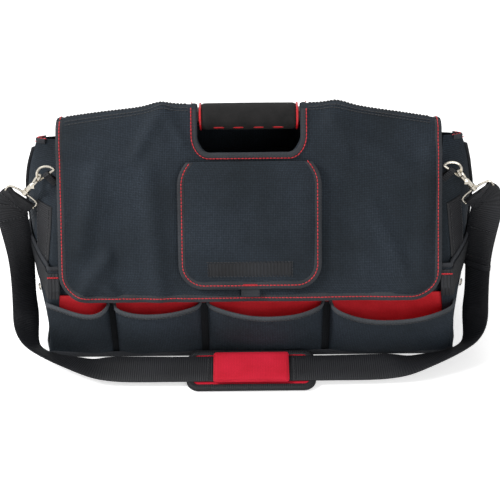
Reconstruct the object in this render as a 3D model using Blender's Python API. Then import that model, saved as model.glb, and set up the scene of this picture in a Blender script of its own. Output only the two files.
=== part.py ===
"""A soft tool bag with a tube handle, a cover flap, front pockets and a shoulder strap."""
import bmesh
import bpy
import math
from mathutils import Matrix, Vector

# Driving dimensions in metres. X runs along the bag, -Y is its front, +Z is up.
BAG_LENGTH = 0.510
BAG_DEPTH = 0.230
WALL_HEIGHT = 0.100
PANEL_TOP = 0.196
CLOTH = 0.003
SEAM_GAP = 0.0003
REST_GAP = 0.0006
UNDER_FLAP_GAP = 0.0012
PATCH_SEAT = 0.0009

# Ends: the bag bows outwards at its two ends.
END_TOP = 0.254
END_TOP_LENGTH = 0.476
END_BOW_BASE = 0.262
END_BOW_WIDEST = 0.282
END_BOW_HEIGHT = 0.150
END_BOW_TOP = 0.260
END_INSET = 0.010
BOW_ROUND_SHARE = 1.6

# Base
BOARD_THICK = 0.004
BOARD_INSET = 0.006

# Handle: a bent steel tube with a foam grip on a plastic core.
HANDLE_HEIGHT = 0.282
HANDLE_DROOP = 0.022
HANDLE_LEVEL = 0.105
HANDLE_SHOULDER = 0.192
LEG_REACH = 0.2235
TUBE_RADIUS = 0.011
TUBE_WALL = 0.0015
LEG_BEND = 0.034
GRIP_LENGTH = 0.119
GRIP_RADIUS = 0.016
CORE_RADIUS = 0.0130
COLLAR_WIDTH = 0.0022
SLEEVE_FIT = 0.0004
FOOT_HEIGHT = 0.040
FOOT_WALL = 0.003
FOOT_PLATE = 0.056
FOOT_PLATE_THICK = 0.003

# Cover flap: it runs over the tube and down the front.
FLAP_LENGTH = 0.456
FLAP_HEM_REACH = 0.125
FLAP_HEM_HEIGHT = 0.101
FLAP_CORNER = 0.032
FLAP_SEAM_HEIGHT = 0.150
FLAP_FOLD_HEIGHT = 0.1475
SLOT_LENGTH = 0.125
SLOT_FLOOR_LENGTH = 0.090
SLOT_DROP = 0.030
SLOT_CORNER = 0.016
BINDING_WIDTH = 0.0055
BINDING_THICK = 0.0048

# Accessory pocket on the flap
POUCH_LENGTH = 0.160
POUCH_HEIGHT = 0.140
POUCH_BULGE = 0.0055
POUCH_CLOTH = 0.0016
LID_LENGTH = 0.172
LID_TOP = 0.0705
LID_HEIGHT = 0.155
LID_CORNER = 0.030
TAPE_LENGTH = 0.102
TAPE_HEIGHT = 0.019
TAPE_THICK = 0.0012
TAPE_ABOVE_HEM = 0.014
TAB_LENGTH = 0.022
TAB_WIDTH = 0.025
TAB_THICK = 0.0018
LID_SEAT = SEAM_GAP + POUCH_CLOTH + TAPE_THICK * 2 + SEAM_GAP * 4

# Front pockets
LINING_THICK = 0.0015
LINING_HEIGHT = 0.099
POCKET_HEIGHT = 0.089
POCKET_CLOTH = 0.0022
POCKET_BULGE_SHARES = (0.72, 0.86, 1.0, 1.35)
POCKET_EDGE_SHARES = ((-0.495, -0.345), (-0.330, -0.122), (-0.104, 0.176), (0.194, 0.495))
POCKET_BULGE = 0.022
POCKET_FOOT = 0.002

# End trims
END_POCKET_HEIGHT = 0.126
END_POCKET_STAND = 0.0045
END_POCKET_SPREAD_SHARE = 0.86
END_STRIP_THICK = 0.0022
END_STRIP_SHARES = (-0.95, -0.62)
END_STRIP_TOP = 0.184
BINDING_STOP = 0.014
SEAM_BINDING = 0.008
RIVET_RADIUS = 0.0048
RIVET_HEAD = 0.0022
RIVET_Y = -0.085
RIVET_Z = 0.088

# Rings and snap hooks
RING_WIRE = 0.0016
RING_RADIUS = 0.0125
RING_X = 0.2465
RING_Y = -0.0360
RING_Z = 0.2230
RING_TILT = math.radians(38)
LOOP_WIDTH = 0.0085
LOOP_WALL = 0.0020
LOOP_TAIL = 0.012
CONTACT_TURN = math.radians(15)
SHANK_DOWN = math.radians(48)
CLAW_WIRE = 0.0019
CLAW_RADIUS = 0.0078
CLAW_TURN = math.radians(235)
SHANK_LENGTH = 0.012
SHANK_RADIUS = 0.0032
PIN_RADIUS = 0.0018
PIN_LENGTH = 0.0035
LATCH_RADIUS = 0.0014
LATCH_LENGTH = 0.0125
HOOK_PLAY = 0.0010
THUMB_SIZE = 0.0036
BARREL_RADIUS = 0.0042
BARREL_LENGTH = 0.0070
EYE_WIRE = 0.0015
EYE_WIDTH = 0.042
EYE_HEIGHT = 0.010

# Shoulder strap: webbing from hook to hook, with a pad at its middle.
STRAP_WIDTH = 0.038
STRAP_THICK = 0.0022
STRAP_SIDE = 0.2945
STRAP_FRONT = 0.160
STRAP_TILT = math.radians(11)
STRAP_WRAP = 0.0038
STRAP_FOLD = 0.032
STRAP_FOLD_END = 0.0028
STRAP_DROP_SHARES = ((1.0, 0.33, 2.95), (1.0, 0.47, 1.20), (0.958, 0.790, 0.50), (0.740, 0.955, 0.36))
STRAP_FRONT_SHARES = ((0.572, 0.99), (0.336, 1.0))
STRAP_ACROSS_SHARES = ((1.0, 0.0, 0.0), (0.80, 0.55, 0.0), (0.36, 0.63, -0.62), (0.15, 0.93, -0.25))
PAD_LENGTH = 0.158
PAD_WIDTH = 0.056
PAD_THICK = 0.005
PAD_CORNER = 0.012
PAD_COVER_LENGTH = 0.096
PAD_COVER_THICK = 0.003
PAD_RAIL = 0.004
PAD_FIT = 0.0005

OVERRUN = 0.010
ROUND_SIDES = 16
WIRE_SIDES = 8

HALF = 0.5
MATERIALS = {}


def material(name, colour, roughness, metallic=0.0):
    if name in MATERIALS:
        return MATERIALS[name]
    made = bpy.data.materials.new(name)
    made.use_nodes = True
    shader = made.node_tree.nodes["Principled BSDF"]
    shader.inputs["Base Color"].default_value = (*colour, 1.0)
    shader.inputs["Roughness"].default_value = roughness
    shader.inputs["Metallic"].default_value = metallic
    MATERIALS[name] = made
    return made


def finish_of(name, kind):
    finishes = {
        "cloth": ((0.020, 0.027, 0.034), 0.85, 0.0),
        "webbing": ((0.018, 0.018, 0.020), 0.80, 0.0),
        "binding": ((0.030, 0.031, 0.034), 0.80, 0.0),
        "red_cloth": ((0.450, 0.010, 0.020), 0.80, 0.0),
        "foam": ((0.020, 0.020, 0.020), 0.90, 0.0),
        "red_plastic": ((0.500, 0.015, 0.020), 0.50, 0.0),
        "board": ((0.030, 0.030, 0.030), 0.60, 0.0),
        "steel": ((0.050, 0.050, 0.052), 0.45, 0.9),
        "nickel": ((0.700, 0.660, 0.600), 0.25, 1.0),
    }
    return material(f"{name}_finish", *finishes[kind])


def add_object(name, mesh, kind):
    obj = bpy.data.objects.new(name, mesh)
    bpy.context.scene.collection.objects.link(obj)
    mesh.materials.append(finish_of(name, kind))
    return obj


def mesh_from(name, points, faces, smooth=False):
    mesh = bpy.data.meshes.new(name)
    build = bmesh.new()
    corners = [build.verts.new(point) for point in points]
    for face in faces:
        build.faces.new([corners[index] for index in face])
    bmesh.ops.recalc_face_normals(build, faces=build.faces)
    build.to_mesh(mesh)
    build.free()
    if smooth:
        mesh.shade_smooth()
        mesh.set_sharp_from_angle(angle=math.radians(40))
    return mesh


def skinned(name, outer, inner, kind, smooth=True):
    """A closed solid between two like grids of points."""
    rows = len(outer)
    columns = len(outer[0])
    points = [point for row in outer for point in row] + [point for row in inner for point in row]
    shift = rows * columns
    faces = []
    for row in range(rows - 1):
        for column in range(columns - 1):
            a = row * columns + column
            b = a + 1
            c = a + columns + 1
            d = a + columns
            faces.append((a, b, c, d))
            faces.append((d + shift, c + shift, b + shift, a + shift))
    rim = [column for column in range(columns)]
    rim += [row * columns + columns - 1 for row in range(1, rows)]
    rim += [(rows - 1) * columns + column for column in range(columns - 2, -1, -1)]
    rim += [row * columns for row in range(rows - 2, 0, -1)]
    for index, start in enumerate(rim):
        end = rim[(index + 1) % len(rim)]
        faces.append((end, start, start + shift, end + shift))
    return add_object(name, mesh_from(name, points, faces, smooth), kind)


def swept(name, sections, kind, closed=False, smooth=True):
    """A solid through like rings of points, one ring at each step."""
    sides = len(sections[0])
    points = [point for ring in sections for point in ring]
    faces = []
    steps = len(sections)
    for step in range(steps if closed else steps - 1):
        first = step * sides
        second = ((step + 1) % steps) * sides
        for side in range(sides):
            other = (side + 1) % sides
            faces.append((first + side, first + other, second + other, second + side))
    if not closed:
        faces.append(tuple(range(sides - 1, -1, -1)))
        faces.append(tuple(range((steps - 1) * sides, steps * sides)))
    return add_object(name, mesh_from(name, points, faces, smooth), kind)


def ribbon(name, stations, width, thick, kind, closed=False):
    """Webbing: each station is its centre, the direction across it and its face direction."""
    sections = []
    for centre, across, face in stations:
        side = across.normalized() * width * HALF
        lift = face.normalized() * thick * HALF
        sections.append([centre - side - lift, centre + side - lift, centre + side + lift,
                         centre - side + lift])
    return swept(name, sections, kind, closed, smooth=False)


def wire_rings(path, radius, sides, closed=False, start_side=None):
    """Rings of points round a path, carried along it without twist."""
    rings = []
    count = len(path)
    side = start_side or Vector((0, 1, 0))
    for index, point in enumerate(path):
        before = path[index - 1] if index or closed else point
        after = path[(index + 1) % count] if index < count - 1 or closed else point
        along = (after - before).normalized()
        side = (side - along * side.dot(along)).normalized()
        other = along.cross(side)
        rings.append([
            point + (side * math.cos(turn) + other * math.sin(turn)) * radius
            for turn in (2 * math.pi * step / sides for step in range(sides))
        ])
    return rings


def wire(name, path, radius, kind, closed=False, sides=WIRE_SIDES):
    return swept(name, wire_rings(path, radius, sides, closed), kind, closed)


def pipe(name, path, radius, bore, kind, sides):
    """A bent tube, open at both ends."""
    made = bmesh.new()
    grids = [[[made.verts.new(point) for point in ring] for ring in wire_rings(path, size, sides)]
             for size in (radius, bore)]
    for step in range(sides):
        other = (step + 1) % sides
        for grid in grids:
            for first, second in zip(grid, grid[1:]):
                made.faces.new((first[step], first[other], second[other], second[step]))
        for end in (0, -1):
            made.faces.new((grids[0][end][step], grids[0][end][other], grids[1][end][other], grids[1][end][step]))
    bmesh.ops.recalc_face_normals(made, faces=made.faces)
    mesh = bpy.data.meshes.new(name)
    made.to_mesh(mesh)
    made.free()
    return add_object(name, mesh, kind)


def turned(name, profile, kind, origin, axis, sides=ROUND_SIDES):
    """A turned solid: the profile is a closed loop of (along, radius) pairs."""
    along = axis.normalized()
    side = along.orthogonal().normalized()
    other = along.cross(side)
    sections = []
    for step in range(sides):
        turn = 2 * math.pi * step / sides
        out = side * math.cos(turn) + other * math.sin(turn)
        sections.append([origin + along * place + out * radius for place, radius in profile])
    return swept(name, sections, kind, closed=True)


def plug(name, length, radius, kind, origin, axis, sides=ROUND_SIDES):
    """A plain round bar."""
    path = [origin, origin + axis.normalized() * length]
    side = axis.orthogonal().normalized()
    return swept(name, wire_rings(path, radius, sides, start_side=side), kind)


def block(name, low, high, kind):
    points = [Vector((x, y, z)) for x in (low[0], high[0]) for y in (low[1], high[1])
              for z in (low[2], high[2])]
    faces = ((0, 1, 3, 2), (4, 6, 7, 5), (0, 4, 5, 1), (2, 3, 7, 6), (0, 2, 6, 4), (1, 5, 7, 3))
    return add_object(name, mesh_from(name, points, faces), kind)


def joined(target, *others):
    """Boolean union of helper solids into a piece."""
    for other in others:
        other.hide_render = True
        other.display_type = "WIRE"
        union = target.modifiers.new(f"join_{other.name}", "BOOLEAN")
        union.operation = "UNION"
        union.solver = "EXACT"
        union.object = other
    return target


def cut(target, *cutters):
    for cutter in cutters:
        cutter.hide_render = True
        cutter.display_type = "WIRE"
        less = target.modifiers.new(f"cut_{cutter.name}", "BOOLEAN")
        less.operation = "DIFFERENCE"
        less.solver = "EXACT"
        less.object = cutter
    return target


def blend_between(low, high, share):
    return low + (high - low) * share


def smooth_step(value):
    held = min(max(value, 0.0), 1.0)
    return held * held * (3 - 2 * held)


def spread(count, low, high):
    return [blend_between(low, high, step / (count - 1)) for step in range(count)]


def handle_centre(x):
    """Height of the tube's centre line above the base at a place along the bag."""
    past = max(abs(x) - HANDLE_LEVEL, 0)
    return HANDLE_HEIGHT - HANDLE_DROOP * past / (FLAP_LENGTH * HALF - HANDLE_LEVEL)


RIDGE_RADIUS = TUBE_RADIUS + REST_GAP + CLOTH
RIDGE_STEPS = 4


def flap_section(x, side):
    """(start, direction, tangent angle, straight length) of the flap's straight run at x."""
    centre = Vector((0, handle_centre(x)))
    hem = Vector((side * FLAP_HEM_REACH, FLAP_HEM_HEIGHT))
    reach = (hem - centre).length
    lean = math.atan2(abs(hem.x), centre.y - hem.y)
    turn = math.pi * HALF - lean + math.asin(RIDGE_RADIUS / reach)
    return centre, turn, math.sqrt(reach * reach - RIDGE_RADIUS * RIDGE_RADIUS)


def on_flap(x, run, side=-1, lift=0.0):
    """A point on the flap's outer face, a distance down from the ridge, lifted off it."""
    centre, turn, _ = flap_section(x, side)
    arc = RIDGE_RADIUS * turn
    angle = min(run / RIDGE_RADIUS, turn)
    out = Vector((side * math.sin(angle), math.cos(angle)))
    down = Vector((side * math.cos(angle), -math.sin(angle)))
    place = centre + out * (RIDGE_RADIUS + lift) + down * max(run - arc, 0)
    return Vector((x, place.x, place.y))


def flap_run(x, side=-1):
    _, turn, straight = flap_section(x, side)
    return RIDGE_RADIUS * turn + straight


def flap_out(x, run, side=-1):
    """The flap's outward direction at a point."""
    return (on_flap(x, run, side, CLOTH) - on_flap(x, run, side)).normalized()


def flap_stations(half):
    return sorted(set(spread(9, -half, half) + [-HANDLE_LEVEL, HANDLE_LEVEL]))


def end_bow(z):
    """How far out the middle of an end stands at a height."""
    if z < END_BOW_HEIGHT:
        return blend_between(END_BOW_BASE, END_BOW_WIDEST, math.sin(math.pi * HALF * z / END_BOW_HEIGHT))
    past = (z - END_BOW_HEIGHT) / (END_TOP - END_BOW_HEIGHT)
    return blend_between(END_BOW_WIDEST, END_BOW_TOP, past * past)


def end_edge(z):
    """How far out the corner of the bag stands at a height."""
    share = min(z / PANEL_TOP, 1.0)
    return blend_between(BAG_LENGTH, END_TOP_LENGTH, share) * HALF


def wall_line(z, x=0.0):
    """Half the bag's depth at a height, under the flap."""
    _, turn, _ = flap_section(x, -1)
    centre = handle_centre(x)
    inner = RIDGE_RADIUS - CLOTH - UNDER_FLAP_GAP
    sloped = (inner + (centre - z) * math.cos(turn)) / math.sin(turn)
    return min(BAG_DEPTH * HALF, sloped)


def end_half_depth(z):
    if z <= WALL_HEIGHT:
        return BAG_DEPTH * HALF - CLOTH - SEAM_GAP
    return min(wall_line(z, FLAP_LENGTH * HALF) - END_INSET * smooth_step((z - WALL_HEIGHT) / WALL_HEIGHT),
               BAG_DEPTH * HALF) - CLOTH - SEAM_GAP


def end_point(side, y, z, out=0.0):
    half_depth = end_half_depth(z)
    share = min(abs(y) / half_depth, 1.0)
    x = blend_between(end_edge(z), end_bow(z), 1 - share ** BOW_ROUND_SHARE)
    return Vector((side * (x + out), y, z))


def make_base():
    board_low = CLOTH + SEAM_GAP
    x = BAG_LENGTH * HALF - CLOTH - SEAM_GAP
    y = BAG_DEPTH * HALF - CLOTH - SEAM_GAP
    block("base_panel", (-x, -y, 0), (x, y, CLOTH), "cloth")
    x -= BOARD_INSET
    y -= BOARD_INSET
    block("base_board", (-x, -y, board_low), (x, y, board_low + BOARD_THICK), "board")


BOARD_TOP = CLOTH + SEAM_GAP + BOARD_THICK


END_HEIGHTS = spread(6, 0, WALL_HEIGHT) + spread(13, WALL_HEIGHT, END_TOP)[1:]


def panel_rows():
    return [height for height in END_HEIGHTS if height < PANEL_TOP] + [PANEL_TOP]


def make_wall(name, side):
    """The front or back wall, upright below and leaning in under the flap."""
    outer = []
    inner = []
    for z in panel_rows():
        half_length = end_edge(z)
        out_row = []
        in_row = []
        for x in [-half_length, *flap_stations(FLAP_LENGTH * HALF), half_length]:
            depth = wall_line(z, min(abs(x), FLAP_LENGTH * HALF))
            out_row.append(Vector((x, side * depth, z)))
            in_row.append(Vector((x, side * (depth - CLOTH), z)))
        outer.append(out_row)
        inner.append(in_row)
    return skinned(name, outer, inner, "cloth")


def make_end(name, side):
    outer = []
    inner = []
    for z in END_HEIGHTS:
        half_depth = end_half_depth(z)
        outer.append([end_point(side, half_depth * share, z) for share in spread(13, -1, 1)])
        inner.append([end_point(side, half_depth * share, z, -CLOTH) for share in spread(13, -1, 1)])
    return skinned(name, outer, inner, "cloth")


def make_lining():
    half = end_edge(LINING_HEIGHT) - SEAM_GAP
    front = BAG_DEPTH * HALF + SEAM_GAP
    block("front_lining", (-half, -front - LINING_THICK, 0), (half, -front, LINING_HEIGHT), "red_cloth")


def make_pocket(name, left, right, bulge):
    """A gusseted front pocket, open at the top and flush with the lining at its sides."""
    face = BAG_DEPTH * HALF + LINING_THICK + 2 * SEAM_GAP + POCKET_CLOTH
    outer = []
    inner = []
    for z_share in spread(5, 0, 1):
        out_row = []
        in_row = []
        fullness = POCKET_FOOT + (bulge - POCKET_FOOT) * math.sin(z_share * math.pi * HALF)
        for share in spread(13, 0, 1):
            x = blend_between(left, right, share)
            swell = math.sin(math.pi * share) ** HALF * fullness
            z = POCKET_HEIGHT * z_share
            out_row.append(Vector((x, -face - swell, z)))
            in_row.append(Vector((x, -face - swell + POCKET_CLOTH, z)))
        outer.append(out_row)
        inner.append(in_row)
    return skinned(name, outer, inner, "cloth")


def make_pockets():
    for index, (left, right) in enumerate(POCKET_EDGE_SHARES):
        bulge = POCKET_BULGE * POCKET_BULGE_SHARES[index]
        make_pocket(f"front_pocket_{index + 1}", left * BAG_LENGTH, right * BAG_LENGTH, bulge)


def end_patch(name, side, y_low, y_high, z_low, z_high, thick, kind, columns=7, leaning=False):
    """A piece sewn on an end, following its bow. A leaning one is placed by shares of the end's half depth."""
    outer = []
    inner = []
    for z in [z_low, *(height for height in END_HEIGHTS if z_low < height < z_high), z_high]:
        scale = end_half_depth(z) if leaning else 1
        ys = spread(columns, y_low * scale, y_high * scale)
        outer.append([end_point(side, y, z, PATCH_SEAT + thick) for y in ys])
        inner.append([end_point(side, y, z, PATCH_SEAT) for y in ys])
    return skinned(name, outer, inner, kind)


def make_end_trims(tag, side):
    reach = end_half_depth(0) * END_POCKET_SPREAD_SHARE
    end_patch(f"end_pocket_{tag}", side, -reach, reach, 0, END_POCKET_HEIGHT, END_POCKET_STAND,
              "cloth", columns=15)
    end_patch(f"end_webbing_{tag}", side, *END_STRIP_SHARES, END_POCKET_HEIGHT + SEAM_GAP, END_STRIP_TOP,
              END_STRIP_THICK, "webbing", leaning=True)
    end_patch(f"end_binding_{tag}", side, SEAM_GAP, SEAM_BINDING, END_POCKET_HEIGHT + SEAM_GAP,
              END_TOP - BINDING_STOP, END_STRIP_THICK + LOOP_WALL, "binding")
    seat = end_point(side, RIVET_Y, RIVET_Z, PATCH_SEAT + END_POCKET_STAND)
    across = end_point(side, RIVET_Y + RIVET_RADIUS, RIVET_Z) - end_point(side, RIVET_Y - RIVET_RADIUS, RIVET_Z)
    out = Vector((side * abs(across.y), -abs(across.x), 0)).normalized()
    head = [(0, RIVET_RADIUS), (RIVET_HEAD * HALF, RIVET_RADIUS), (RIVET_HEAD, RIVET_RADIUS * HALF)]
    turned_cap(f"rivet_{tag}", head, "nickel", seat + out * REST_GAP, out)


def turned_cap(name, profile, kind, origin, axis, sides=ROUND_SIDES):
    """A turned solid closed by flat ends: the profile is (along, radius) from end to end."""
    along = axis.normalized()
    side = along.orthogonal().normalized()
    other = along.cross(side)
    sections = []
    for place, radius in profile:
        sections.append([
            origin + along * place + (side * math.cos(turn) + other * math.sin(turn)) * radius
            for turn in (2 * math.pi * step / sides for step in range(sides))
        ])
    return swept(name, sections, kind)


def handle_path():
    """Half of the tube's centre line, from a leg's foot to the middle."""
    foot_z = BOARD_TOP + FOOT_PLATE_THICK + 2 * SEAM_GAP
    top = handle_centre(HANDLE_SHOULDER)
    start = Vector((LEG_REACH, 0, top - LEG_BEND))
    shoulder = Vector((HANDLE_SHOULDER, 0, top))
    control = Vector((LEG_REACH, 0, handle_centre(LEG_REACH)))
    path = [Vector((LEG_REACH, 0, foot_z)), Vector((LEG_REACH, 0, blend_between(foot_z, start.z, HALF)))]
    for share in spread(7, 0, 1):
        path.append(start * (1 - share) ** 2 + control * 2 * share * (1 - share) + shoulder * share ** 2)
    path.append(Vector((HANDLE_LEVEL, 0, handle_centre(HANDLE_LEVEL))))
    path.append(Vector((GRIP_LENGTH * HALF, 0, HANDLE_HEIGHT)))
    return path


def make_handle():
    half = handle_path()
    mirrored = [Vector((-point.x, point.y, point.z)) for point in reversed(half)]
    pipe("handle_tube", half + mirrored, TUBE_RADIUS, TUBE_RADIUS - TUBE_WALL, "steel", sides=12)
    origin = Vector((0, 0, HANDLE_HEIGHT))
    axis = Vector((1, 0, 0))
    inside = TUBE_RADIUS + SLEEVE_FIT
    reach = GRIP_LENGTH * HALF
    flange = reach - COLLAR_WIDTH
    core = [(-reach, inside), (reach, inside), (reach, GRIP_RADIUS), (flange, GRIP_RADIUS),
            (flange, CORE_RADIUS), (-flange, CORE_RADIUS), (-flange, GRIP_RADIUS), (-reach, GRIP_RADIUS)]
    turned("grip_core", core, "red_plastic", origin, axis, sides=20)
    foam = flange - SEAM_GAP
    bore = CORE_RADIUS + SLEEVE_FIT
    turned("handle_grip", [(-foam, bore), (foam, bore), (foam, GRIP_RADIUS), (-foam, GRIP_RADIUS)],
           "foam", origin, axis, sides=20)
    for tag, side in (("left", -1), ("right", 1)):
        base = Vector((side * LEG_REACH, 0, BOARD_TOP + SEAM_GAP))
        bore = TUBE_RADIUS + SLEEVE_FIT
        outer = bore + FOOT_WALL
        profile = [(0, bore), (0, outer), (FOOT_HEIGHT, outer), (FOOT_HEIGHT, bore)]
        socket = turned(f"tube_foot_{tag}", profile, "steel", base, Vector((0, 0, 1)))
        low = (base.x - outer, -FOOT_PLATE * HALF, base.z)
        high = (base.x + outer, FOOT_PLATE * HALF, base.z + FOOT_PLATE_THICK)
        plate = block(f"foot_plate_{tag}", low, high, "steel")
        joined(socket, plate)


def flap_grid(side, length_of, rows, lift):
    grid = []
    for run_share, inset in rows:
        row = []
        for x in flap_stations(length_of * HALF - inset):
            row.append(on_flap(x, run_share * flap_run(x, side), side, lift))
        grid.append(row)
    return grid


def ridge_rows(side):
    _, turn, _ = flap_section(0, side)
    return [RIDGE_RADIUS * turn * step / RIDGE_STEPS / flap_run(0, side) for step in range(1, RIDGE_STEPS + 1)]


def corner_inset(distance, radius):
    if distance >= radius:
        return 0
    return radius - math.sqrt(radius * radius - (radius - distance) ** 2)


def slot_cutter(name):
    """The hand slot's outline, cut straight through front to back."""
    top = HANDLE_HEIGHT + RIDGE_RADIUS + OVERRUN
    floor = HANDLE_HEIGHT - SLOT_DROP
    outline = [(SLOT_LENGTH * HALF, top), (SLOT_LENGTH * HALF, HANDLE_HEIGHT - SLOT_DROP * HALF)]
    low = Vector((SLOT_FLOOR_LENGTH * HALF + SLOT_CORNER * HALF, floor))
    outline += [(low.x, floor + SLOT_CORNER * HALF), (SLOT_FLOOR_LENGTH * HALF - SLOT_CORNER * HALF, floor)]
    outline += [(-x, z) for x, z in reversed(outline)]
    reach = FLAP_HEM_REACH + OVERRUN
    sections = [[Vector((x, y, z)) for x, z in outline] for y in (-reach, reach)]
    cutter = swept(name, sections, "cloth", smooth=False)
    return cutter


def make_flap(cutter):
    """The cover in two panels that meet along the ridge."""
    total = flap_run(0)
    gap_share = SEAM_GAP * HALF / total
    front_rows = [(gap_share, 0)] + [(share, 0) for share in ridge_rows(-1)]
    front_rows += [(share, 0) for share in spread(4, front_rows[-1][0], 1 - FLAP_CORNER / total)[1:]]
    for turn in spread(6, 0, math.pi * HALF)[1:]:
        distance = FLAP_CORNER * (1 - math.sin(turn))
        front_rows.append((1 - distance / total, corner_inset(distance, FLAP_CORNER)))
    outer = flap_grid(-1, FLAP_LENGTH, front_rows, 0)
    inner = flap_grid(-1, FLAP_LENGTH, front_rows, -CLOTH)
    front = skinned("front_flap", outer, inner, "cloth")
    cut(front, cutter)
    seam_run = rear_seam_share()
    rear_rows = [(gap_share, 0)] + [(share, 0) for share in ridge_rows(1)]
    rear_rows += [(share, 0) for share in spread(3, rear_rows[-1][0], seam_run)[1:]]
    outer = flap_grid(1, FLAP_LENGTH, rear_rows, 0)
    inner = flap_grid(1, FLAP_LENGTH, rear_rows, -CLOTH)
    rear = skinned("rear_flap", outer, inner, "cloth")
    cut(rear, cutter)


def rear_seam_share():
    """Share of the section at which the rear panel is sewn to the back wall."""
    low = on_flap(0, flap_run(0, 1), 1).z
    high = HANDLE_HEIGHT
    return (high - FLAP_SEAM_HEIGHT) / (high - low)


def make_flap_binding():
    """Tape round the front flap's sides and hem."""
    half = FLAP_LENGTH * HALF + BINDING_WIDTH * HALF + SEAM_GAP
    radius = FLAP_CORNER
    total = flap_run(0)
    side_runs = spread(5, ridge_rows(-1)[-1] * total, total - radius)
    edge = [(half, run, 0) for run in side_runs]
    centre_x = FLAP_LENGTH * HALF - radius
    reach = radius + BINDING_WIDTH * HALF + SEAM_GAP
    for turn in spread(6, 0, math.pi * HALF)[1:]:
        edge.append((centre_x + reach * math.cos(turn), total - radius + reach * math.sin(turn), turn))
    edge.append((HANDLE_LEVEL, total + BINDING_WIDTH * HALF + SEAM_GAP, math.pi * HALF))
    mirrored = [(-x, run, math.pi - turn) for x, run, turn in reversed(edge)]
    stations = []
    for x, run, turn in edge + mirrored:
        scaled = run * flap_run(x) / total
        face = flap_out(x, scaled)
        down = (on_flap(x, scaled + BINDING_WIDTH) - on_flap(x, scaled)).normalized()
        across = Vector((1, 0, 0)) * math.cos(turn) + down * math.sin(turn)
        stations.append((on_flap(x, scaled, -1, BINDING_THICK * HALF - CLOTH), across, face))
    return ribbon("flap_binding", stations, BINDING_WIDTH, BINDING_THICK, "binding")


def make_seam_strip():
    """The tape that joins the rear flap to the back wall and lets it turn."""
    share = rear_seam_share()
    stations = []
    for x in spread(5, -FLAP_LENGTH * HALF, FLAP_LENGTH * HALF):
        run = share * flap_run(x, 1)
        down = (on_flap(x, run + BINDING_WIDTH, 1) - on_flap(x, run, 1)).normalized()
        centre = on_flap(x, run, 1, -CLOTH * HALF) + down * (BINDING_WIDTH * HALF + SEAM_GAP)
        stations.append((centre, down, flap_out(x, run, 1)))
    return ribbon("flap_seam_tape", stations, BINDING_WIDTH, CLOTH, "binding")


def patch_on_flap(name, length, top, height, corner, lift_of, thick, kind):
    """A piece lying on the front flap, with its bottom corners rounded."""
    rows = [top + height * share for share in spread(5, 0, 1 - corner / height)]
    insets = [0] * len(rows)
    for turn in spread(5, 0, math.pi * HALF)[1:]:
        distance = corner * (1 - math.sin(turn))
        rows.append(top + height - distance)
        insets.append(corner_inset(distance, corner))
    outer = []
    inner = []
    for run, inset in zip(rows, insets):
        half = length * HALF - inset
        xs = spread(9, -half, half)
        outer.append([on_flap(x, run, -1, lift_of(x, run) + thick) for x in xs])
        inner.append([on_flap(x, run, -1, lift_of(x, run)) for x in xs])
    return skinned(name, outer, inner, kind)


def pouch_swell(x, run):
    """How far the accessory pocket stands off the flap."""
    across = max(1 - (2 * x / POUCH_LENGTH) ** 4, 0)
    down = max(1 - ((run - LID_TOP - POUCH_HEIGHT * HALF) / (POUCH_HEIGHT * HALF)) ** 4, 0)
    return POUCH_BULGE * across * down


def make_accessory_pocket():
    seat = SEAM_GAP
    patch_on_flap("accessory_pocket", POUCH_LENGTH, LID_TOP + OVERRUN, POUCH_HEIGHT - OVERRUN, LID_CORNER,
                  lambda x, run: seat + pouch_swell(x, run), POUCH_CLOTH, "cloth")
    patch_on_flap("pocket_flap", LID_LENGTH, LID_TOP, LID_HEIGHT, LID_CORNER,
                  lambda x, run: LID_SEAT + pouch_swell(x, run), CLOTH * HALF, "cloth")
    tape_top = LID_TOP + LID_HEIGHT - TAPE_ABOVE_HEM - TAPE_HEIGHT
    tape_top = min(tape_top, LID_TOP + POUCH_HEIGHT - TAPE_HEIGHT - SEAM_GAP)
    loop_seat = seat + POUCH_CLOTH + SEAM_GAP
    flat_patch("loop_tape", TAPE_LENGTH, tape_top, TAPE_HEIGHT,
               lambda x, run: loop_seat + pouch_swell(x, run), TAPE_THICK, "webbing")
    hook_seat = loop_seat + TAPE_THICK + SEAM_GAP
    flat_patch("hook_tape", TAPE_LENGTH, tape_top, TAPE_HEIGHT,
               lambda x, run: hook_seat + pouch_swell(x, run), TAPE_THICK, "webbing")
    flat_patch("pull_tab", TAB_LENGTH, LID_TOP + LID_HEIGHT + SEAM_GAP, TAB_WIDTH * HALF,
               lambda x, run: LID_SEAT, TAB_THICK, "webbing")


def flat_patch(name, length, top, height, lift_of, thick, kind):
    outer = []
    inner = []
    for run in spread(4, top, top + height):
        xs = spread(7, -length * HALF, length * HALF)
        outer.append([on_flap(x, run, -1, lift_of(x, run) + thick) for x in xs])
        inner.append([on_flap(x, run, -1, lift_of(x, run)) for x in xs])
    return skinned(name, outer, inner, kind)


def ring_frame(side):
    """Centre of a ring's straight bar, its bar direction and its apex direction."""
    centre = Vector((side * RING_X, RING_Y, RING_Z))
    bar = Vector((side * math.cos(RING_TILT), 0, -math.sin(RING_TILT)))
    apex = Vector((side * math.sin(RING_TILT), 0, math.cos(RING_TILT)))
    return centre, bar, apex


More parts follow.
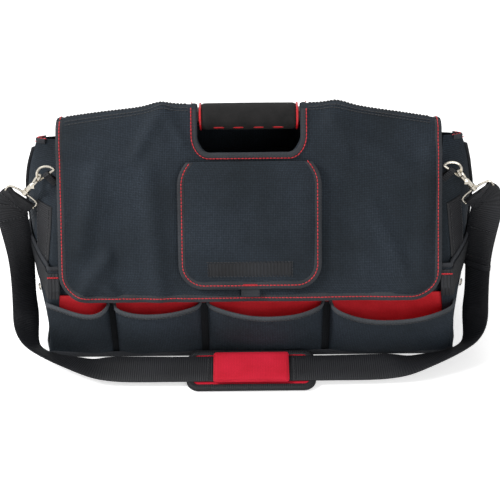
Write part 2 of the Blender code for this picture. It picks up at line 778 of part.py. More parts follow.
def make_ring(tag, side):
    """A D-ring, and the webbing loop that ties its bar to the end of the bag."""
    centre, bar, apex = ring_frame(side)
    path = [centre + (bar * math.cos(turn) + apex * math.sin(turn)) * RING_RADIUS
            for turn in spread(15, 0, math.pi)]
    path += [centre - bar * RING_RADIUS * HALF, centre, centre + bar * RING_RADIUS * HALF]
    wire(f"d_ring_{tag}", path, RING_WIRE, "nickel", closed=True)
    bore = RING_WIRE + SLEEVE_FIT
    outer = bore + LOOP_WALL
    half = LOOP_WIDTH * HALF
    profile = [(-half, bore), (-half, outer), (half, outer), (half, bore)]
    loop = turned(f"ring_loop_{tag}", profile, "webbing", centre, bar)
    start = centre - apex * (bore + LOOP_WALL * HALF)
    stop = centre - apex * (outer + LOOP_TAIL)
    level = Vector((0, 1, 0))
    tail = ribbon(f"ring_tail_{tag}", [(start, bar, level), (stop, bar, level)], LOOP_WIDTH, LOOP_WALL, "webbing")
    joined(loop, tail)


def hook_frame(side):
    """Where the ring bears in the claw, the claw's centre and the shank's direction."""
    centre, bar, apex = ring_frame(side)
    contact = centre + (bar * math.cos(CONTACT_TURN) + apex * math.sin(CONTACT_TURN)) * RING_RADIUS
    shank = Vector((side * math.cos(SHANK_DOWN), 0, -math.sin(SHANK_DOWN)))
    play = CLAW_RADIUS - CLAW_WIRE - RING_WIRE - HOOK_PLAY
    return contact, contact + shank * play, shank


def make_hook(tag, side):
    _, centre, shank = hook_frame(side)
    across = Vector((0, 1, 0))
    path = []
    for turn in spread(17, 0, CLAW_TURN):
        path.append(centre + (shank * math.cos(turn) + across * math.sin(turn)) * CLAW_RADIUS)
    start = centre + shank * CLAW_RADIUS
    claw = wire(f"claw_{tag}", path, CLAW_WIRE, "nickel")
    profile = [(-CLAW_WIRE, SHANK_RADIUS * HALF), (CLAW_WIRE, SHANK_RADIUS),
               (SHANK_LENGTH, SHANK_RADIUS), (SHANK_LENGTH, PIN_RADIUS),
               (SHANK_LENGTH + PIN_LENGTH, PIN_RADIUS)]
    body = turned_cap(f"snap_hook_{tag}", profile, "nickel", start, shank)
    joined(body, claw)
    make_latch(tag, centre, start, shank)
    make_eye(tag, start, shank)


def make_latch(tag, centre, start, shank):
    """The sliding bolt that shuts the claw, with its thumb piece."""
    out = Vector((0, -1, 0))
    offset = out * (SHANK_RADIUS + LATCH_RADIUS + SLEEVE_FIT)
    tip = CLAW_RADIUS * math.cos(CLAW_TURN) + CLAW_WIRE + SLEEVE_FIT
    origin = centre + offset + shank * tip
    bolt = plug(f"hook_latch_{tag}", LATCH_LENGTH, LATCH_RADIUS, "nickel", origin, shank, sides=10)
    place = origin + shank * (LATCH_LENGTH - THUMB_SIZE) + out * THUMB_SIZE * HALF
    size = Vector((THUMB_SIZE, THUMB_SIZE, THUMB_SIZE)) * HALF
    joined(bolt, block(f"thumb_{tag}", place - size, place + size, "nickel"))


def eye_bar(side):
    """The middle of the eye's straight bar, and the direction along it, inwards and down."""
    _, centre, shank = hook_frame(side)
    reach = CLAW_RADIUS + SHANK_LENGTH + SEAM_GAP + BARREL_LENGTH + EYE_HEIGHT
    along = Vector((-side * math.sin(SHANK_DOWN), 0, -math.cos(SHANK_DOWN)))
    return centre + shank * reach, along


def make_eye(tag, start, shank):
    """The swivel eye that the strap is folded over."""
    side = 1 if shank.x > 0 else -1
    face = start + shank * (SHANK_LENGTH + SEAM_GAP)
    bore = PIN_RADIUS + SLEEVE_FIT
    depth = PIN_LENGTH + SLEEVE_FIT
    tiny = PIN_RADIUS * HALF
    profile = [(depth, tiny), (depth, bore), (0, bore), (0, BARREL_RADIUS),
               (BARREL_LENGTH, BARREL_RADIUS), (BARREL_LENGTH, tiny)]
    barrel = turned_cap(f"strap_eye_{tag}", profile, "nickel", face, shank)
    middle, along = eye_bar(side)
    neck = face + shank * (BARREL_LENGTH - EYE_WIRE)
    half = EYE_WIDTH * HALF
    path = [neck - along * BARREL_RADIUS, neck + along * BARREL_RADIUS]
    for turn in spread(5, 0, math.pi * HALF):
        out = BARREL_RADIUS + (half - BARREL_RADIUS) * math.sin(turn)
        path.append(neck + along * out + shank * EYE_HEIGHT * HALF * (1 - math.cos(turn)))
    path += [middle + along * half, middle, middle - along * half]
    for turn in spread(5, math.pi * HALF, 0):
        out = BARREL_RADIUS + (half - BARREL_RADIUS) * math.sin(turn)
        path.append(neck - along * out + shank * EYE_HEIGHT * HALF * (1 - math.cos(turn)))
    cleaned = [point for index, point in enumerate(path) if (point - path[index - 1]).length > SEAM_GAP]
    joined(barrel, wire(f"eye_loop_{tag}", cleaned, EYE_WIRE, "nickel", closed=True))


def strap_front_height():
    """Height of the strap's middle line at the pad, which lies on the floor on its front edge."""
    return PAD_WIDTH * HALF * math.sin(STRAP_TILT) + PAD_THICK + STRAP_THICK + SEAM_GAP * 2


def strap_route(side):
    """The strap's middle line from the hook down, round the corner and to the front, and its turn."""
    middle, along = eye_bar(side)
    _, _, shank = hook_frame(side)
    start = middle + Vector((0, STRAP_WRAP, 0))
    points = [start, start + shank * STRAP_WIDTH * HALF]
    across = [along, along]
    for x_share, y_share, z_share in STRAP_DROP_SHARES:
        points.append(Vector((side * STRAP_SIDE * x_share, -STRAP_FRONT * y_share, STRAP_WIDTH * z_share)))
    for x_share, y_share in STRAP_FRONT_SHARES:
        points.append(Vector((side * STRAP_SIDE * x_share, -STRAP_FRONT * y_share, strap_front_height())))
    for x_share, y_share, z_share in STRAP_ACROSS_SHARES:
        across.append(Vector((-side * x_share, y_share, z_share)))
    level = Vector((0, math.cos(STRAP_TILT), math.sin(STRAP_TILT)))
    return points, across + [level, level]


def curve_point(points, share):
    """A smooth curve through the points, after Catmull and Rom."""
    spans = len(points) - 1
    place = min(max(share, 0), 1) * spans
    index = min(int(place), spans - 1)
    local = place - index
    before = points[max(index - 1, 0)]
    start = points[index]
    end = points[index + 1]
    after = points[min(index + 2, spans)]
    steady = start * 2 + (end - before) * local
    bend = (before * 2 - start * 5 + end * 4 - after) * local ** 2
    turn = (start * 3 - before - end * 3 + after) * local ** 3
    return (steady + bend + turn) * HALF


def half_strap(side, steps):
    """Stations from the end folded back over the eye's bar to the middle of the strap."""
    points, across_list = strap_route(side)
    main = []
    nudge = HALF / steps
    for step in range(steps + 1):
        share = step / steps
        along = (curve_point(points, share + nudge) - curve_point(points, share - nudge)).normalized()
        across = curve_point(across_list, share)
        across = (across - along * across.dot(along)).normalized()
        main.append((curve_point(points, share), across, along.cross(across)))
    fold = []
    for centre, across, face in main:
        gone = (centre - main[0][0]).length / STRAP_FOLD
        if gone <= 1:
            offset = blend_between(2 * STRAP_WRAP, STRAP_FOLD_END, gone)
            fold.insert(0, (centre - face * side * offset, across, -face))
    middle, bar = eye_bar(side)
    _, _, shank = hook_frame(side)
    wrap = []
    for turn in spread(7, 0, math.pi)[1:-1]:
        out = Vector((0, -math.cos(turn), 0)) - shank * math.sin(turn)
        wrap.append((middle + out * STRAP_WRAP, bar, out * side))
    return fold + wrap + main


def make_strap():
    left = half_strap(-1, 30)
    right = [(centre, across, -face) for centre, across, face in reversed(half_strap(1, 30))]
    ribbon("shoulder_strap", left + right, STRAP_WIDTH, STRAP_THICK, "webbing")
    level = Vector((0, math.cos(STRAP_TILT), math.sin(STRAP_TILT)))
    normal = Vector((0, -math.sin(STRAP_TILT), math.cos(STRAP_TILT)))
    middle = Vector((0, -STRAP_FRONT, strap_front_height()))
    gap = STRAP_THICK * HALF + PAD_FIT
    base = pad_plate("pad_base", middle - normal * (gap + PAD_THICK), level, normal, PAD_THICK,
                     PAD_LENGTH, PAD_WIDTH, "webbing")
    rail_at = STRAP_WIDTH * HALF + PAD_FIT + PAD_RAIL * HALF
    for number, way in ((1, -1), (2, 1)):
        foot = middle + level * way * rail_at - normal * (gap + PAD_THICK * HALF)
        rail = pad_plate(f"rail_{number}", foot, level, normal, gap * 2 + PAD_THICK * HALF - SEAM_GAP,
                         PAD_COVER_LENGTH, PAD_RAIL, "webbing", corner=PAD_RAIL * HALF * HALF)
        joined(base, rail)
    cover_width = 2 * rail_at + PAD_RAIL
    pad_plate("pad_cover", middle + normal * gap, level, normal, PAD_COVER_THICK,
              PAD_COVER_LENGTH, cover_width, "red_cloth")


def pad_plate(name, foot, level, normal, thick, length, width, kind, corner=PAD_CORNER):
    """A plate with rounded corners, built up from its foot along the normal."""
    radius = min(corner, width * HALF - SEAM_GAP)
    outline = []
    for quarter in range(4):
        way_x = 1 if quarter in (0, 3) else -1
        way_y = 1 if quarter in (0, 1) else -1
        for turn in spread(4, quarter * math.pi * HALF, (quarter + 1) * math.pi * HALF):
            x = way_x * (length * HALF - radius) + radius * math.cos(turn)
            y = way_y * (width * HALF - radius) + radius * math.sin(turn)
            outline.append((x, y))
    sections = [[foot + Vector((x, 0, 0)) + level * y + normal * lift for x, y in outline]
                for lift in (0, thick)]
    return swept(name, sections, kind, smooth=False)


def set_origin(point, *names):
    """Puts the origin of moving pieces on their joint."""
    for name in names:
        piece = bpy.data.objects[name]
        piece.data.transform(Matrix.Translation(-point))
        piece.location = point


def place_origins():
    seam = on_flap(0, rear_seam_share() * flap_run(0, 1), 1)
    _, turn, _ = flap_section(0, 1)
    slope = Vector((0, math.cos(turn), -math.sin(turn)))
    set_origin(seam + slope * (seam.z - FLAP_FOLD_HEIGHT) / math.sin(turn), "rear_flap")
    ridge = Vector((0, 0, HANDLE_HEIGHT + RIDGE_RADIUS))
    set_origin(ridge, "front_flap", "flap_binding", "accessory_pocket", "loop_tape")
    set_origin(on_flap(0, LID_TOP, -1, LID_SEAT), "pocket_flap", "hook_tape", "pull_tab")
    set_origin(Vector((0, -STRAP_FRONT, strap_front_height())), "pad_base", "pad_cover")
    for tag, side in (("left", -1), ("right", 1)):
        contact, centre, shank = hook_frame(side)
        set_origin(ring_frame(side)[0], f"d_ring_{tag}")
        set_origin(centre, f"snap_hook_{tag}", f"hook_latch_{tag}")
        set_origin(eye_bar(side)[0], f"strap_eye_{tag}")
    set_origin(Vector((0, contact.y, contact.z)), "shoulder_strap")


def main():
    for obj in list(bpy.data.objects):
        bpy.data.objects.remove(obj)
    make_base()
    make_wall("front_panel", -1)
    make_wall("back_panel", 1)
    make_end("end_panel_left", -1)
    make_end("end_panel_right", 1)
    make_lining()
    make_pockets()
    make_handle()
    cutter = slot_cutter("slot_cutter")
    make_flap(cutter)
    make_flap_binding()
    make_seam_strip()
    make_accessory_pocket()
    for tag, side in (("left", -1), ("right", 1)):
        make_end_trims(tag, side)
        make_ring(tag, side)
        make_hook(tag, side)
    make_strap()
    place_origins()


main()
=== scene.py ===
from functools import partial
from itertools import accumulate
from math import asin, atan2, copysign, cos, exp, hypot, log, pi, radians, sin, sqrt, tanh

import bmesh
import bpy
from mathutils import Matrix, Vector, noise


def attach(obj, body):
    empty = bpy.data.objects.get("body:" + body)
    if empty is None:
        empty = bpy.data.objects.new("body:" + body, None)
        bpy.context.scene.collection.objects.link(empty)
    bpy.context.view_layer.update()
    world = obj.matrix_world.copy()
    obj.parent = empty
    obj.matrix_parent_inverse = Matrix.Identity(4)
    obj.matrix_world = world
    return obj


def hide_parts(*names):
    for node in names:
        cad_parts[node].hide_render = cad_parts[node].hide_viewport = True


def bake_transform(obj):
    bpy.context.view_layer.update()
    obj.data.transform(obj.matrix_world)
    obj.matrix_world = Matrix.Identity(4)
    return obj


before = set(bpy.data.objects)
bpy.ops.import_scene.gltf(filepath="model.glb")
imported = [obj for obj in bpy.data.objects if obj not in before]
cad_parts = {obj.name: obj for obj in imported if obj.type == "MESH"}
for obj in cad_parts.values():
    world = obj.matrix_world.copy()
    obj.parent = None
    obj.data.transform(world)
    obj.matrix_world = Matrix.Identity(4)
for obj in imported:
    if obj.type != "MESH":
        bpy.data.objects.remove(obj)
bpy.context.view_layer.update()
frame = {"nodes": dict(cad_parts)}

MM = 0.001
RIGHT = Vector((1, 0, 0))
BACK = Vector((0, 1, 0))
UP = Vector((0, 0, 1))
SIDES = (("left", -1), ("right", 1))

# Sizes of the bag, in metres, as the frame holds them.
BASE_LENGTH = 0.510
HALF_DEPTH = 0.115
WALL_HEIGHT = 0.100
PANEL_TOP = 0.196
END_TOP = 0.254
END_TOP_LENGTH = 0.476
END_BOW_BASE = 0.262
END_BOW_WIDEST = 0.282
END_BOW_HEIGHT = 0.150
END_BOW_TOP = 0.260
END_INSET = 0.010
END_MOUTH = 0.130
CLOTH = 0.003
TUBE_RADIUS = 0.011
RIDGE_RADIUS = 0.0146
HANDLE_HEIGHT = 0.282
HANDLE_DROOP = 0.022
HANDLE_LEVEL = 0.105
COVER_HALF = 0.228
HEM_REACH = 0.125
HEM_HEIGHT = 0.101
HEM_CORNER = 0.032
REAR_SEAM_HEIGHT = 0.150
SLOT_HALF = 0.0625
SLOT_FLOOR = 0.2520
LID_HALF = 0.086
LID_TOP = 0.0690
LID_HEIGHT = 0.1545
LID_END = LID_TOP + LID_HEIGHT
LID_CORNER = 0.030
LID_SEAT = 0.0055
POUCH_LENGTH = 0.160
POUCH_HEIGHT = 0.140
POUCH_SWELL = 0.0055
LINING_HEIGHT = 0.099
POCKET_HEIGHT = 0.089
POCKET_FOOT = 0.002
POCKET_BULGE = 0.022
# Each pocket's edges as shares of the base, its fullness, where it is fullest, its mouth's dip.
POCKETS = ((-0.495, -0.345, 0.72, 0.70, 0.008), (-0.330, -0.122, 0.86, 0.42, 0.006),
           (-0.104, 0.176, 1.0, 0.55, 0.009), (0.194, 0.495, 1.35, 0.46, 0.010))

# How high things lie over the cloth that they are sewn to, and stitches over a tape's middle.
ON_CLOTH = 0.0003
ON_TAPE = 0.0012


# Colours and finishes

def linear(code):
    """A linear colour from an sRGB hex value."""
    parts = [int(code[place:place + 2], 16) / 255 for place in (1, 3, 5)]
    return tuple(part / 12.92 if part <= 0.04045 else ((part + 0.055) / 1.055) ** 2.4
                 for part in parts) + (1.0,)


def feed(node, inputs):
    """Sets a node's sockets, to values or to what other nodes give out."""
    for name, value in inputs.items():
        if isinstance(value, bpy.types.NodeSocket):
            node.id_data.links.new(value, node.inputs[name])
        else:
            node.inputs[name].default_value = value


def add_node(tree, kind, inputs, **settings):
    """Adds a shader node with its inputs and settings, and returns its outputs."""
    made = tree.nodes.new("ShaderNode" + kind)
    for name, value in settings.items():
        setattr(made, name, value)
    feed(made, inputs)
    return made.outputs


def start_finish(name, roughness, metallic=0.0, coat=0.0, gloss=0.5):
    made = bpy.data.materials.new(name)
    made.use_nodes = True
    shader = made.node_tree.nodes["Principled BSDF"]
    feed(shader, {"Roughness": roughness, "Metallic": metallic, "Coat Weight": coat,
                  "Specular IOR Level": gloss})
    return made, made.node_tree, shader


def mottled(tree, where, dark, light, per_metre):
    """Colour that wanders between two close tones."""
    cloud = add_node(tree, "TexNoise", {"Scale": per_metre, "Detail": 3.0, "Vector": where})
    colour = add_node(tree, "ValToRGB", {"Fac": cloud["Fac"]})["Color"]
    stops = colour.node.color_ramp.elements
    for stop, position, code in zip(stops, (0.3, 0.7), (dark, light)):
        stop.position = position
        stop.color = linear(code)
    return colour


def raise_weave(tree, shader, height, base, bump, levels):
    """Gives a weave its relief, with painted shade in its hollows and painted highlight on its
    crowns.
    """
    strength, depth_mm = bump
    relief = add_node(tree, "Bump", {"Strength": strength, "Distance": depth_mm * MM,
                                     "Height": height})
    names = ("From Min", "From Max", "To Min", "To Max")
    shade = add_node(tree, "MapRange", {**dict(zip(names, levels)), "Value": height})
    tone = add_node(tree, "VectorMath", {0: base, "Scale": shade["Result"]}, operation="SCALE")
    feed(shader, {"Base Color": tone["Vector"], "Normal": relief["Normal"]})


def woven(name, dark, light, thread_mm, depth_mm, roughness, cast=14.0, painted_weave_shading=(0.55, 1.42)):
    """Plain weave: warp and weft pass over each other by turns; painted shade in its hollows,
    painted highlight on its crowns.
    """
    made, tree, shader = start_finish(name, roughness, gloss=0.22)
    where = add_node(tree, "TexCoord", {})
    per_metre = 1 / (thread_mm * MM)
    warp, weft = [add_node(tree, "TexWave", {"Scale": per_metre * pi / 10,
                                             "Vector": where["UV"]}, bands_direction=way)
                  for way in "XY"]
    turn = add_node(tree, "TexChecker", {"Scale": per_metre, "Vector": where["UV"]})
    thread = add_node(tree, "Mix", {"Factor": turn["Fac"], "A": warp["Fac"], "B": weft["Fac"]},
                      data_type="FLOAT")
    slub = add_node(tree, "TexNoise", {"Scale": per_metre * 0.8, "Detail": 3.0,
                                       "Vector": where["Object"]})
    height = add_node(tree, "Math", {0: thread["Result"], 1: slub["Fac"]}, operation="MULTIPLY")
    base = mottled(tree, where["Object"], dark, light, cast)
    raise_weave(tree, shader, height["Value"], base, (0.8, depth_mm), (0.05, 0.62, *painted_weave_shading))
    return made


def ribbed(name, dark, light, rib_mm, depth_mm, roughness, way="Y"):
    """Narrow weave with ribs across it, as on webbing and edge tape; painted shade between its
    ribs, painted highlight on them.
    """
    made, tree, shader = start_finish(name, roughness, gloss=0.3)
    where = add_node(tree, "TexCoord", {})
    per_metre = 1 / (rib_mm * MM)
    ribs = add_node(tree, "TexWave", {"Scale": per_metre * pi / 10, "Distortion": 0.4,
                                      "Detail": 1.0, "Detail Scale": 40.0,
                                      "Vector": where["UV"]}, bands_direction=way)
    grain = add_node(tree, "TexNoise", {"Scale": per_metre, "Detail": 2.0,
                                        "Vector": where["Object"]})
    height = add_node(tree, "Math", {0: grain["Fac"], 1: 0.35, 2: ribs["Fac"]},
                      operation="MULTIPLY_ADD")
    base = mottled(tree, where["Object"], dark, light, 22.0)
    raise_weave(tree, shader, height["Value"], base, (0.9, depth_mm), (0.0, 1.2, 0.65, 1.2))
    return made


def grained(name, dark, light, grain_mm, depth_mm, roughness, metallic=0.0, coat=0.0, gloss=0.5):
    """Moulded, foamed or plated surface with a fine grain and a roughness that wanders."""
    made, tree, shader = start_finish(name, roughness, metallic, coat, gloss)
    where = add_node(tree, "TexCoord", {})["Object"]
    grain = add_node(tree, "TexNoise", {"Scale": 1 / (grain_mm * MM), "Detail": 3.0,
                                        "Vector": where})["Fac"]
    bump = add_node(tree, "Bump", {"Strength": 0.7, "Distance": depth_mm * MM, "Height": grain})
    worn = add_node(tree, "MapRange", {"From Min": 0.3, "From Max": 0.7, "Value": grain,
                                       "To Min": roughness - 0.08, "To Max": roughness + 0.08})
    feed(shader, {"Base Color": mottled(tree, where, dark, light, 60.0),
                  "Roughness": worn["Result"], "Normal": bump["Normal"]})
    return made


# Coated polyester: matt dark blue-grey with a visible plain weave, strong painted shade in its
# hollows and painted highlight on its crowns. Its threads are 0.5 mm, drawn at 2.1 mm so that they
# show in a render of this size.
BAG_CLOTH = woven("coated polyester cloth", "#1a2127", "#29313a", 2.1, 0.45, 0.80, 11.0,
                  (0.42, 1.55))
# The pockets' gussets: the bag's cloth made near black, as painted shade in the valleys between the
# pockets, drawn at 2.4 mm.
GUSSET_SHADE_CLOTH = woven("gusset cloth in painted shade", "#0d0f12", "#14171b", 2.4, 0.35, 0.92)
# Nylon lining: bright red, smoother than the bag's cloth. Threads of 0.3 mm, drawn at 1.8 mm.
LINING = woven("red nylon lining", "#c9222b", "#dc2f38", 1.8, 0.15, 0.60, 30.0, (0.86, 1.12))
# Spacer mesh on the pad: open red knit over foam, at its real 2 mm pitch.
PAD_MESH = woven("red spacer mesh", "#c3182c", "#d3203a", 2.0, 0.30, 0.75, 26.0, (0.88, 1.10))
# Polypropylene webbing: near black with a slight gloss. Ribs of 1.3 mm, drawn at 2.6 mm.
WEBBING = ribbed("black polypropylene webbing", "#131417", "#1c1d21", 2.6, 0.45, 0.60)
# Folded polyester edge tape: charcoal, lighter than the cloth. Ribs of 0.9 mm, drawn at 1.8 mm.
EDGE_TAPE = ribbed("charcoal edge tape", "#24262a", "#323439", 1.8, 0.22, 0.70)
# Elastic band: deep cords side by side, which read as upright ribs, at their real pitch.
ELASTIC = ribbed("black ribbed elastic", "#151619", "#24262a", 4.2, 0.9, 0.60, "X")
# Tape on the pocket mouths: a paler grey than the rest, so the mouths read as light lines.
MOUTH_TAPE = ribbed("grey edge tape", "#35383c", "#494d52", 1.8, 0.22, 0.70)
# Thread: bonded red polyester, which gives the thin bright lines along the tapes.
THREAD = grained("red bonded thread", "#b81824", "#d22a36", 0.5, 0.08, 0.45)
# Thread of the tapes' own seams: black, hardly lighter than the cloth.
DARK_THREAD = grained("black bonded thread", "#101114", "#1d1f23", 0.5, 0.08, 0.50)
# Closed cell foam: dull black with a pitted skin.
FOAM = grained("closed cell foam", "#191919", "#232222", 1.4, 0.25, 0.92, gloss=0.25)
# Moulded polypropylene collar: red and slightly glossy.
COLLAR = grained("moulded red polypropylene", "#b3141d", "#c81d26", 0.8, 0.03, 0.35, coat=0.2)
# Nickel plated zinc: warm bright metal with soft casting waves.
NICKEL = grained("nickel plated zinc", "#cfc8bb", "#e2dccf", 1.6, 0.05, 0.24, metallic=1.0)
# Powder coated steel tube: black with a faint orange peel.
TUBE_STEEL = grained("black powder coated steel", "#1b1b1c", "#29292b", 1.1, 0.06, 0.42)
# Polypropylene sheet: the stiff black board in the base, with a fine moulded grain.
BOARD = grained("black polypropylene sheet", "#1a1a1b", "#262628", 1.0, 0.05, 0.55)


# Mesh making

def mix(low, high, share):
    return low + (high - low) * share


def smooth_step(value):
    held = min(max(value, 0.0), 1.0)
    return held * held * (3 - 2 * held)


def spread(count, low, high):
    return [mix(low, high, step / (count - 1)) for step in range(count)]


def start_build():
    build = bmesh.new()
    return build, build.loops.layers.uv.new("cloth")


def add_object(name, data):
    made = bpy.data.objects.new(name, data)
    bpy.context.scene.collection.objects.link(made)
    return made


def finished(name, build, finish, smooth_angle=50):
    mesh = bpy.data.meshes.new(name)
    build.to_mesh(mesh)
    build.free()
    mesh.shade_smooth()
    mesh.set_sharp_from_angle(angle=radians(smooth_angle))
    mesh.materials.append(finish)
    return add_object(name, mesh)


def lengths_along(points):
    steps = [(after - before).length for before, after in zip(points, points[1:])]
    return [0.0, *accumulate(steps)]


def lay_grid(build, uv, grid, flip=False, closed=False):
    """Faces over a grid of points, with the cloth's own distances as its UV, in metres."""
    corners = [[build.verts.new(point) for point in row] for row in grid]
    columns = len(grid[0])
    middle = grid[len(grid) // 2]
    across = lengths_along(middle + middle[:1] if closed else middle)
    down = lengths_along([row[columns // 2] for row in grid])
    for row in range(len(grid) - 1):
        for column in range(columns if closed else columns - 1):
            loop = [(row, column), (row, column + 1), (row + 1, column + 1), (row + 1, column)]
            if flip:
                loop.reverse()
            face = build.faces.new([corners[r][c % columns] for r, c in loop])
            for corner, (r, c) in zip(face.loops, loop):
                corner[uv].uv = (across[c], down[r])
    return corners


def join_edges(build, outside, inside):
    """Faces between two closed lines of corners."""
    pairs = list(zip(outside, inside))
    for (out, into), (next_out, next_into) in zip(pairs, pairs[1:] + pairs[:1]):
        build.faces.new((next_out, out, into, next_into))


def sheet(name, rows, columns, place, seats, finish, *where):
    """A sheet of cloth with its two faces and its cut edges. A point is place(row, column, seat):
    the first seat gives the outer face. The columns may depend on the row. Where says what
    settle() takes, if the sheet is already whole."""
    build, uv = start_build()
    lines = [(row, columns(row) if callable(columns) else columns) for row in rows]
    outer, inner = [[[place(row, column, seat) for column in line] for row, line in lines]
                    for seat in seats]
    front = lay_grid(build, uv, outer)
    back = lay_grid(build, uv, inner, flip=True)
    join_edges(build, *[grid[0][:-1] + [row[-1] for row in grid[:-1]] + grid[-1][:0:-1]
                        + [row[0] for row in grid[:0:-1]] for grid in (front, back)])
    bmesh.ops.recalc_face_normals(build, faces=build.faces)
    piece = finished(name, build, finish)
    return settle(piece, *where) if where else piece


def sleeve(name, rings, finish, closed=False, smooth_angle=50):
    """A skin through rings of points, capped at its ends unless it closes on itself."""
    build, uv = start_build()
    corners = lay_grid(build, uv, rings + [rings[0]] if closed else rings, closed=True)
    if not closed:
        build.faces.new(list(reversed(corners[0])))
        build.faces.new(corners[-1])
    bmesh.ops.remove_doubles(build, verts=build.verts, dist=MM / 1000)
    bmesh.ops.recalc_face_normals(build, faces=build.faces)
    return finished(name, build, finish, smooth_angle)


def tape_ring(centre, across, face, width, thick):
    """One cross-section of tape or webbing, with rounded edges."""
    side = across.normalized() * width / 2
    lift = face.normalized() * thick / 2
    inset = min(thick / width, 0.5) * 1.2
    low = ((-1, -0.35), (-1 + inset, -1), (-0.35, -1), (0.35, -1), (1 - inset, -1), (1, -0.35))
    return [centre + side * a + lift * b for a, b in low + tuple((a, -b) for a, b in reversed(low))]


def tape(name, stations, width, thick, finish, body="bag", slot="binding", *nodes, closed=False,
         over_ridge=False):
    """Tape or webbing through its stations, each (centre, way across it, way out of it)."""
    rings = [tape_ring(*station, width, thick) for station in stations]
    settle(sleeve(name, rings, finish, closed), body, slot, *nodes, over_ridge=over_ridge)


def circle(middle, side, other, radius, sides):
    return [middle + (side * cos(turn) + other * sin(turn)) * radius
            for turn in (2 * pi * step / sides for step in range(sides))]


def turned(name, profile, finish, origin, axis, sides):
    """A turned piece: the profile is (along, radius) from end to end."""
    side = axis.orthogonal().normalized()
    other = axis.cross(side)
    rings = [circle(origin + axis * place, side, other, radius, sides) for place, radius in profile]
    return sleeve(name, rings, finish, smooth_angle=35)


def threads(name, lengths, finish, sides=6, smooth_angle=80):
    """Short lengths of thread as one object; each is a list of what circle() takes."""
    build, uv = start_build()
    for sections in lengths:
        lay_grid(build, uv, [circle(*section, sides) for section in sections], closed=True)
    bmesh.ops.recalc_face_normals(build, faces=build.faces)
    return finished(name, build, finish, smooth_angle)


# A stitch, as (share along it, share of its radius, rise in radii), and its sizes.
STITCH_SHAPE = ((-0.5, 0.35, -0.7), (-0.3, 0.9, 0.1), (0.0, 1.0, 0.4), (0.3, 0.9, 0.1),
                (0.5, 0.35, -0.7))
STITCH_PITCH = 0.0043
STITCH_LENGTH = 0.0041
STITCH_RADIUS = 0.00062


def stitches(name, path, finish, body="bag", slot="binding", over_ridge=False):
    """Lock stitches along a line: path holds each point and the cloth's outward direction there."""
    gone = 0.0
    lengths = []
    for (start, start_out), (end, end_out) in zip(path, path[1:]):
        run = (end - start).length
        while run and gone <= run:
            place = start.lerp(end, gone / run)
            along = (end - start).normalized()
            out = start_out.lerp(end_out, gone / run).normalized()
            side = along.cross(out).normalized()
            lengths.append([(place + along * STITCH_LENGTH * step + out * STITCH_RADIUS * rise,
                             side, out, STITCH_RADIUS * size) for step, size, rise in STITCH_SHAPE])
            gone += STITCH_PITCH
        gone -= run
    settle(threads(name, lengths, finish), body, slot, over_ridge=over_ridge)


def bartack(name, centre, along, out, length, body):
    """A short dense bar of red thread."""
    side = along.cross(out).normalized()
    lengths = []
    for step in spread(14, 0, 1):
        middle = centre + along * length * (step - 0.5)
        shape = ((-1, 0.4), (-0.6, 1.0), (0, 1.1), (0.6, 1.0), (1, 0.4))
        lengths.append([(middle + side * 0.0013 * share + out * 0.0003 * size, along, out,
                         0.00042 * size) for share, size in shape])
    settle(threads(name, lengths, THREAD), body, "binding")


def settle(piece, body, slot, *nodes, over_ridge=False):
    """Fixes a piece to its body, or bakes a piece over the ridge in place without one, and hides
    the solids that it stands for. The slot is not used.
    """
    if over_ridge:
        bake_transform(piece)
    else:
        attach(piece, body)
    if nodes:
        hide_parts(*nodes)
    return piece


def carve(piece, cutter):
    """Cuts one shape out of a piece, and keeps the result."""
    less = piece.modifiers.new("cut", "BOOLEAN")
    less.operation = "DIFFERENCE"
    less.solver = "EXACT"
    less.object = cutter
    graph = bpy.context.evaluated_depsgraph_get()
    mesh = bpy.data.meshes.new_from_object(piece.evaluated_get(graph))
    piece.modifiers.clear()
    piece.data = mesh
    return piece


def paint(node, finish):
    node.data.materials.clear()
    node.data.materials.append(finish)


# The bag's surfaces

def ripple(x, y, z, per_metre, seed):
    return noise.noise(Vector((x * per_metre + seed, y * per_metre, z * per_metre)))


def bell(distance, width):
    return exp(-(distance / width) ** 2)


def handle_centre(x):
    past = max(abs(x) - HANDLE_LEVEL, 0)
    return HANDLE_HEIGHT - HANDLE_DROOP * past / (COVER_HALF - HANDLE_LEVEL)


def cover_section(x, side):
    """The ridge's middle, how far the cloth turns over it, and its straight length to the hem."""
    centre = Vector((0, handle_centre(x)))
    hem = Vector((side * HEM_REACH, HEM_HEIGHT))
    reach = (hem - centre).length
    lean = atan2(abs(hem.x), centre.y - hem.y)
    turn = pi / 2 - lean + asin(RIDGE_RADIUS / reach)
    return centre, turn, sqrt(reach * reach - RIDGE_RADIUS * RIDGE_RADIUS)


def flat_cover(x, run, side=-1, lift=0.0):
    """A point of the cover without its folds: run is metres down it from the ridge."""
    centre, turn, _ = cover_section(x, side)
    angle = min(run / RIDGE_RADIUS, turn)
    out = Vector((side * sin(angle), cos(angle)))
    down = Vector((side * cos(angle), -sin(angle)))
    place = centre + out * (RIDGE_RADIUS + lift) + down * max(run - RIDGE_RADIUS * turn, 0)
    return Vector((x, place.x, place.y))


def cover_run(x, side=-1):
    _, turn, straight = cover_section(x, side)
    return RIDGE_RADIUS * turn + straight


def cover_out(x, run, side=-1):
    return (flat_cover(x, run, side, CLOTH) - flat_cover(x, run, side)).normalized()


def cover_down(x, run, side=-1):
    return (flat_cover(x, run + 0.004, side) - flat_cover(x, run, side)).normalized()


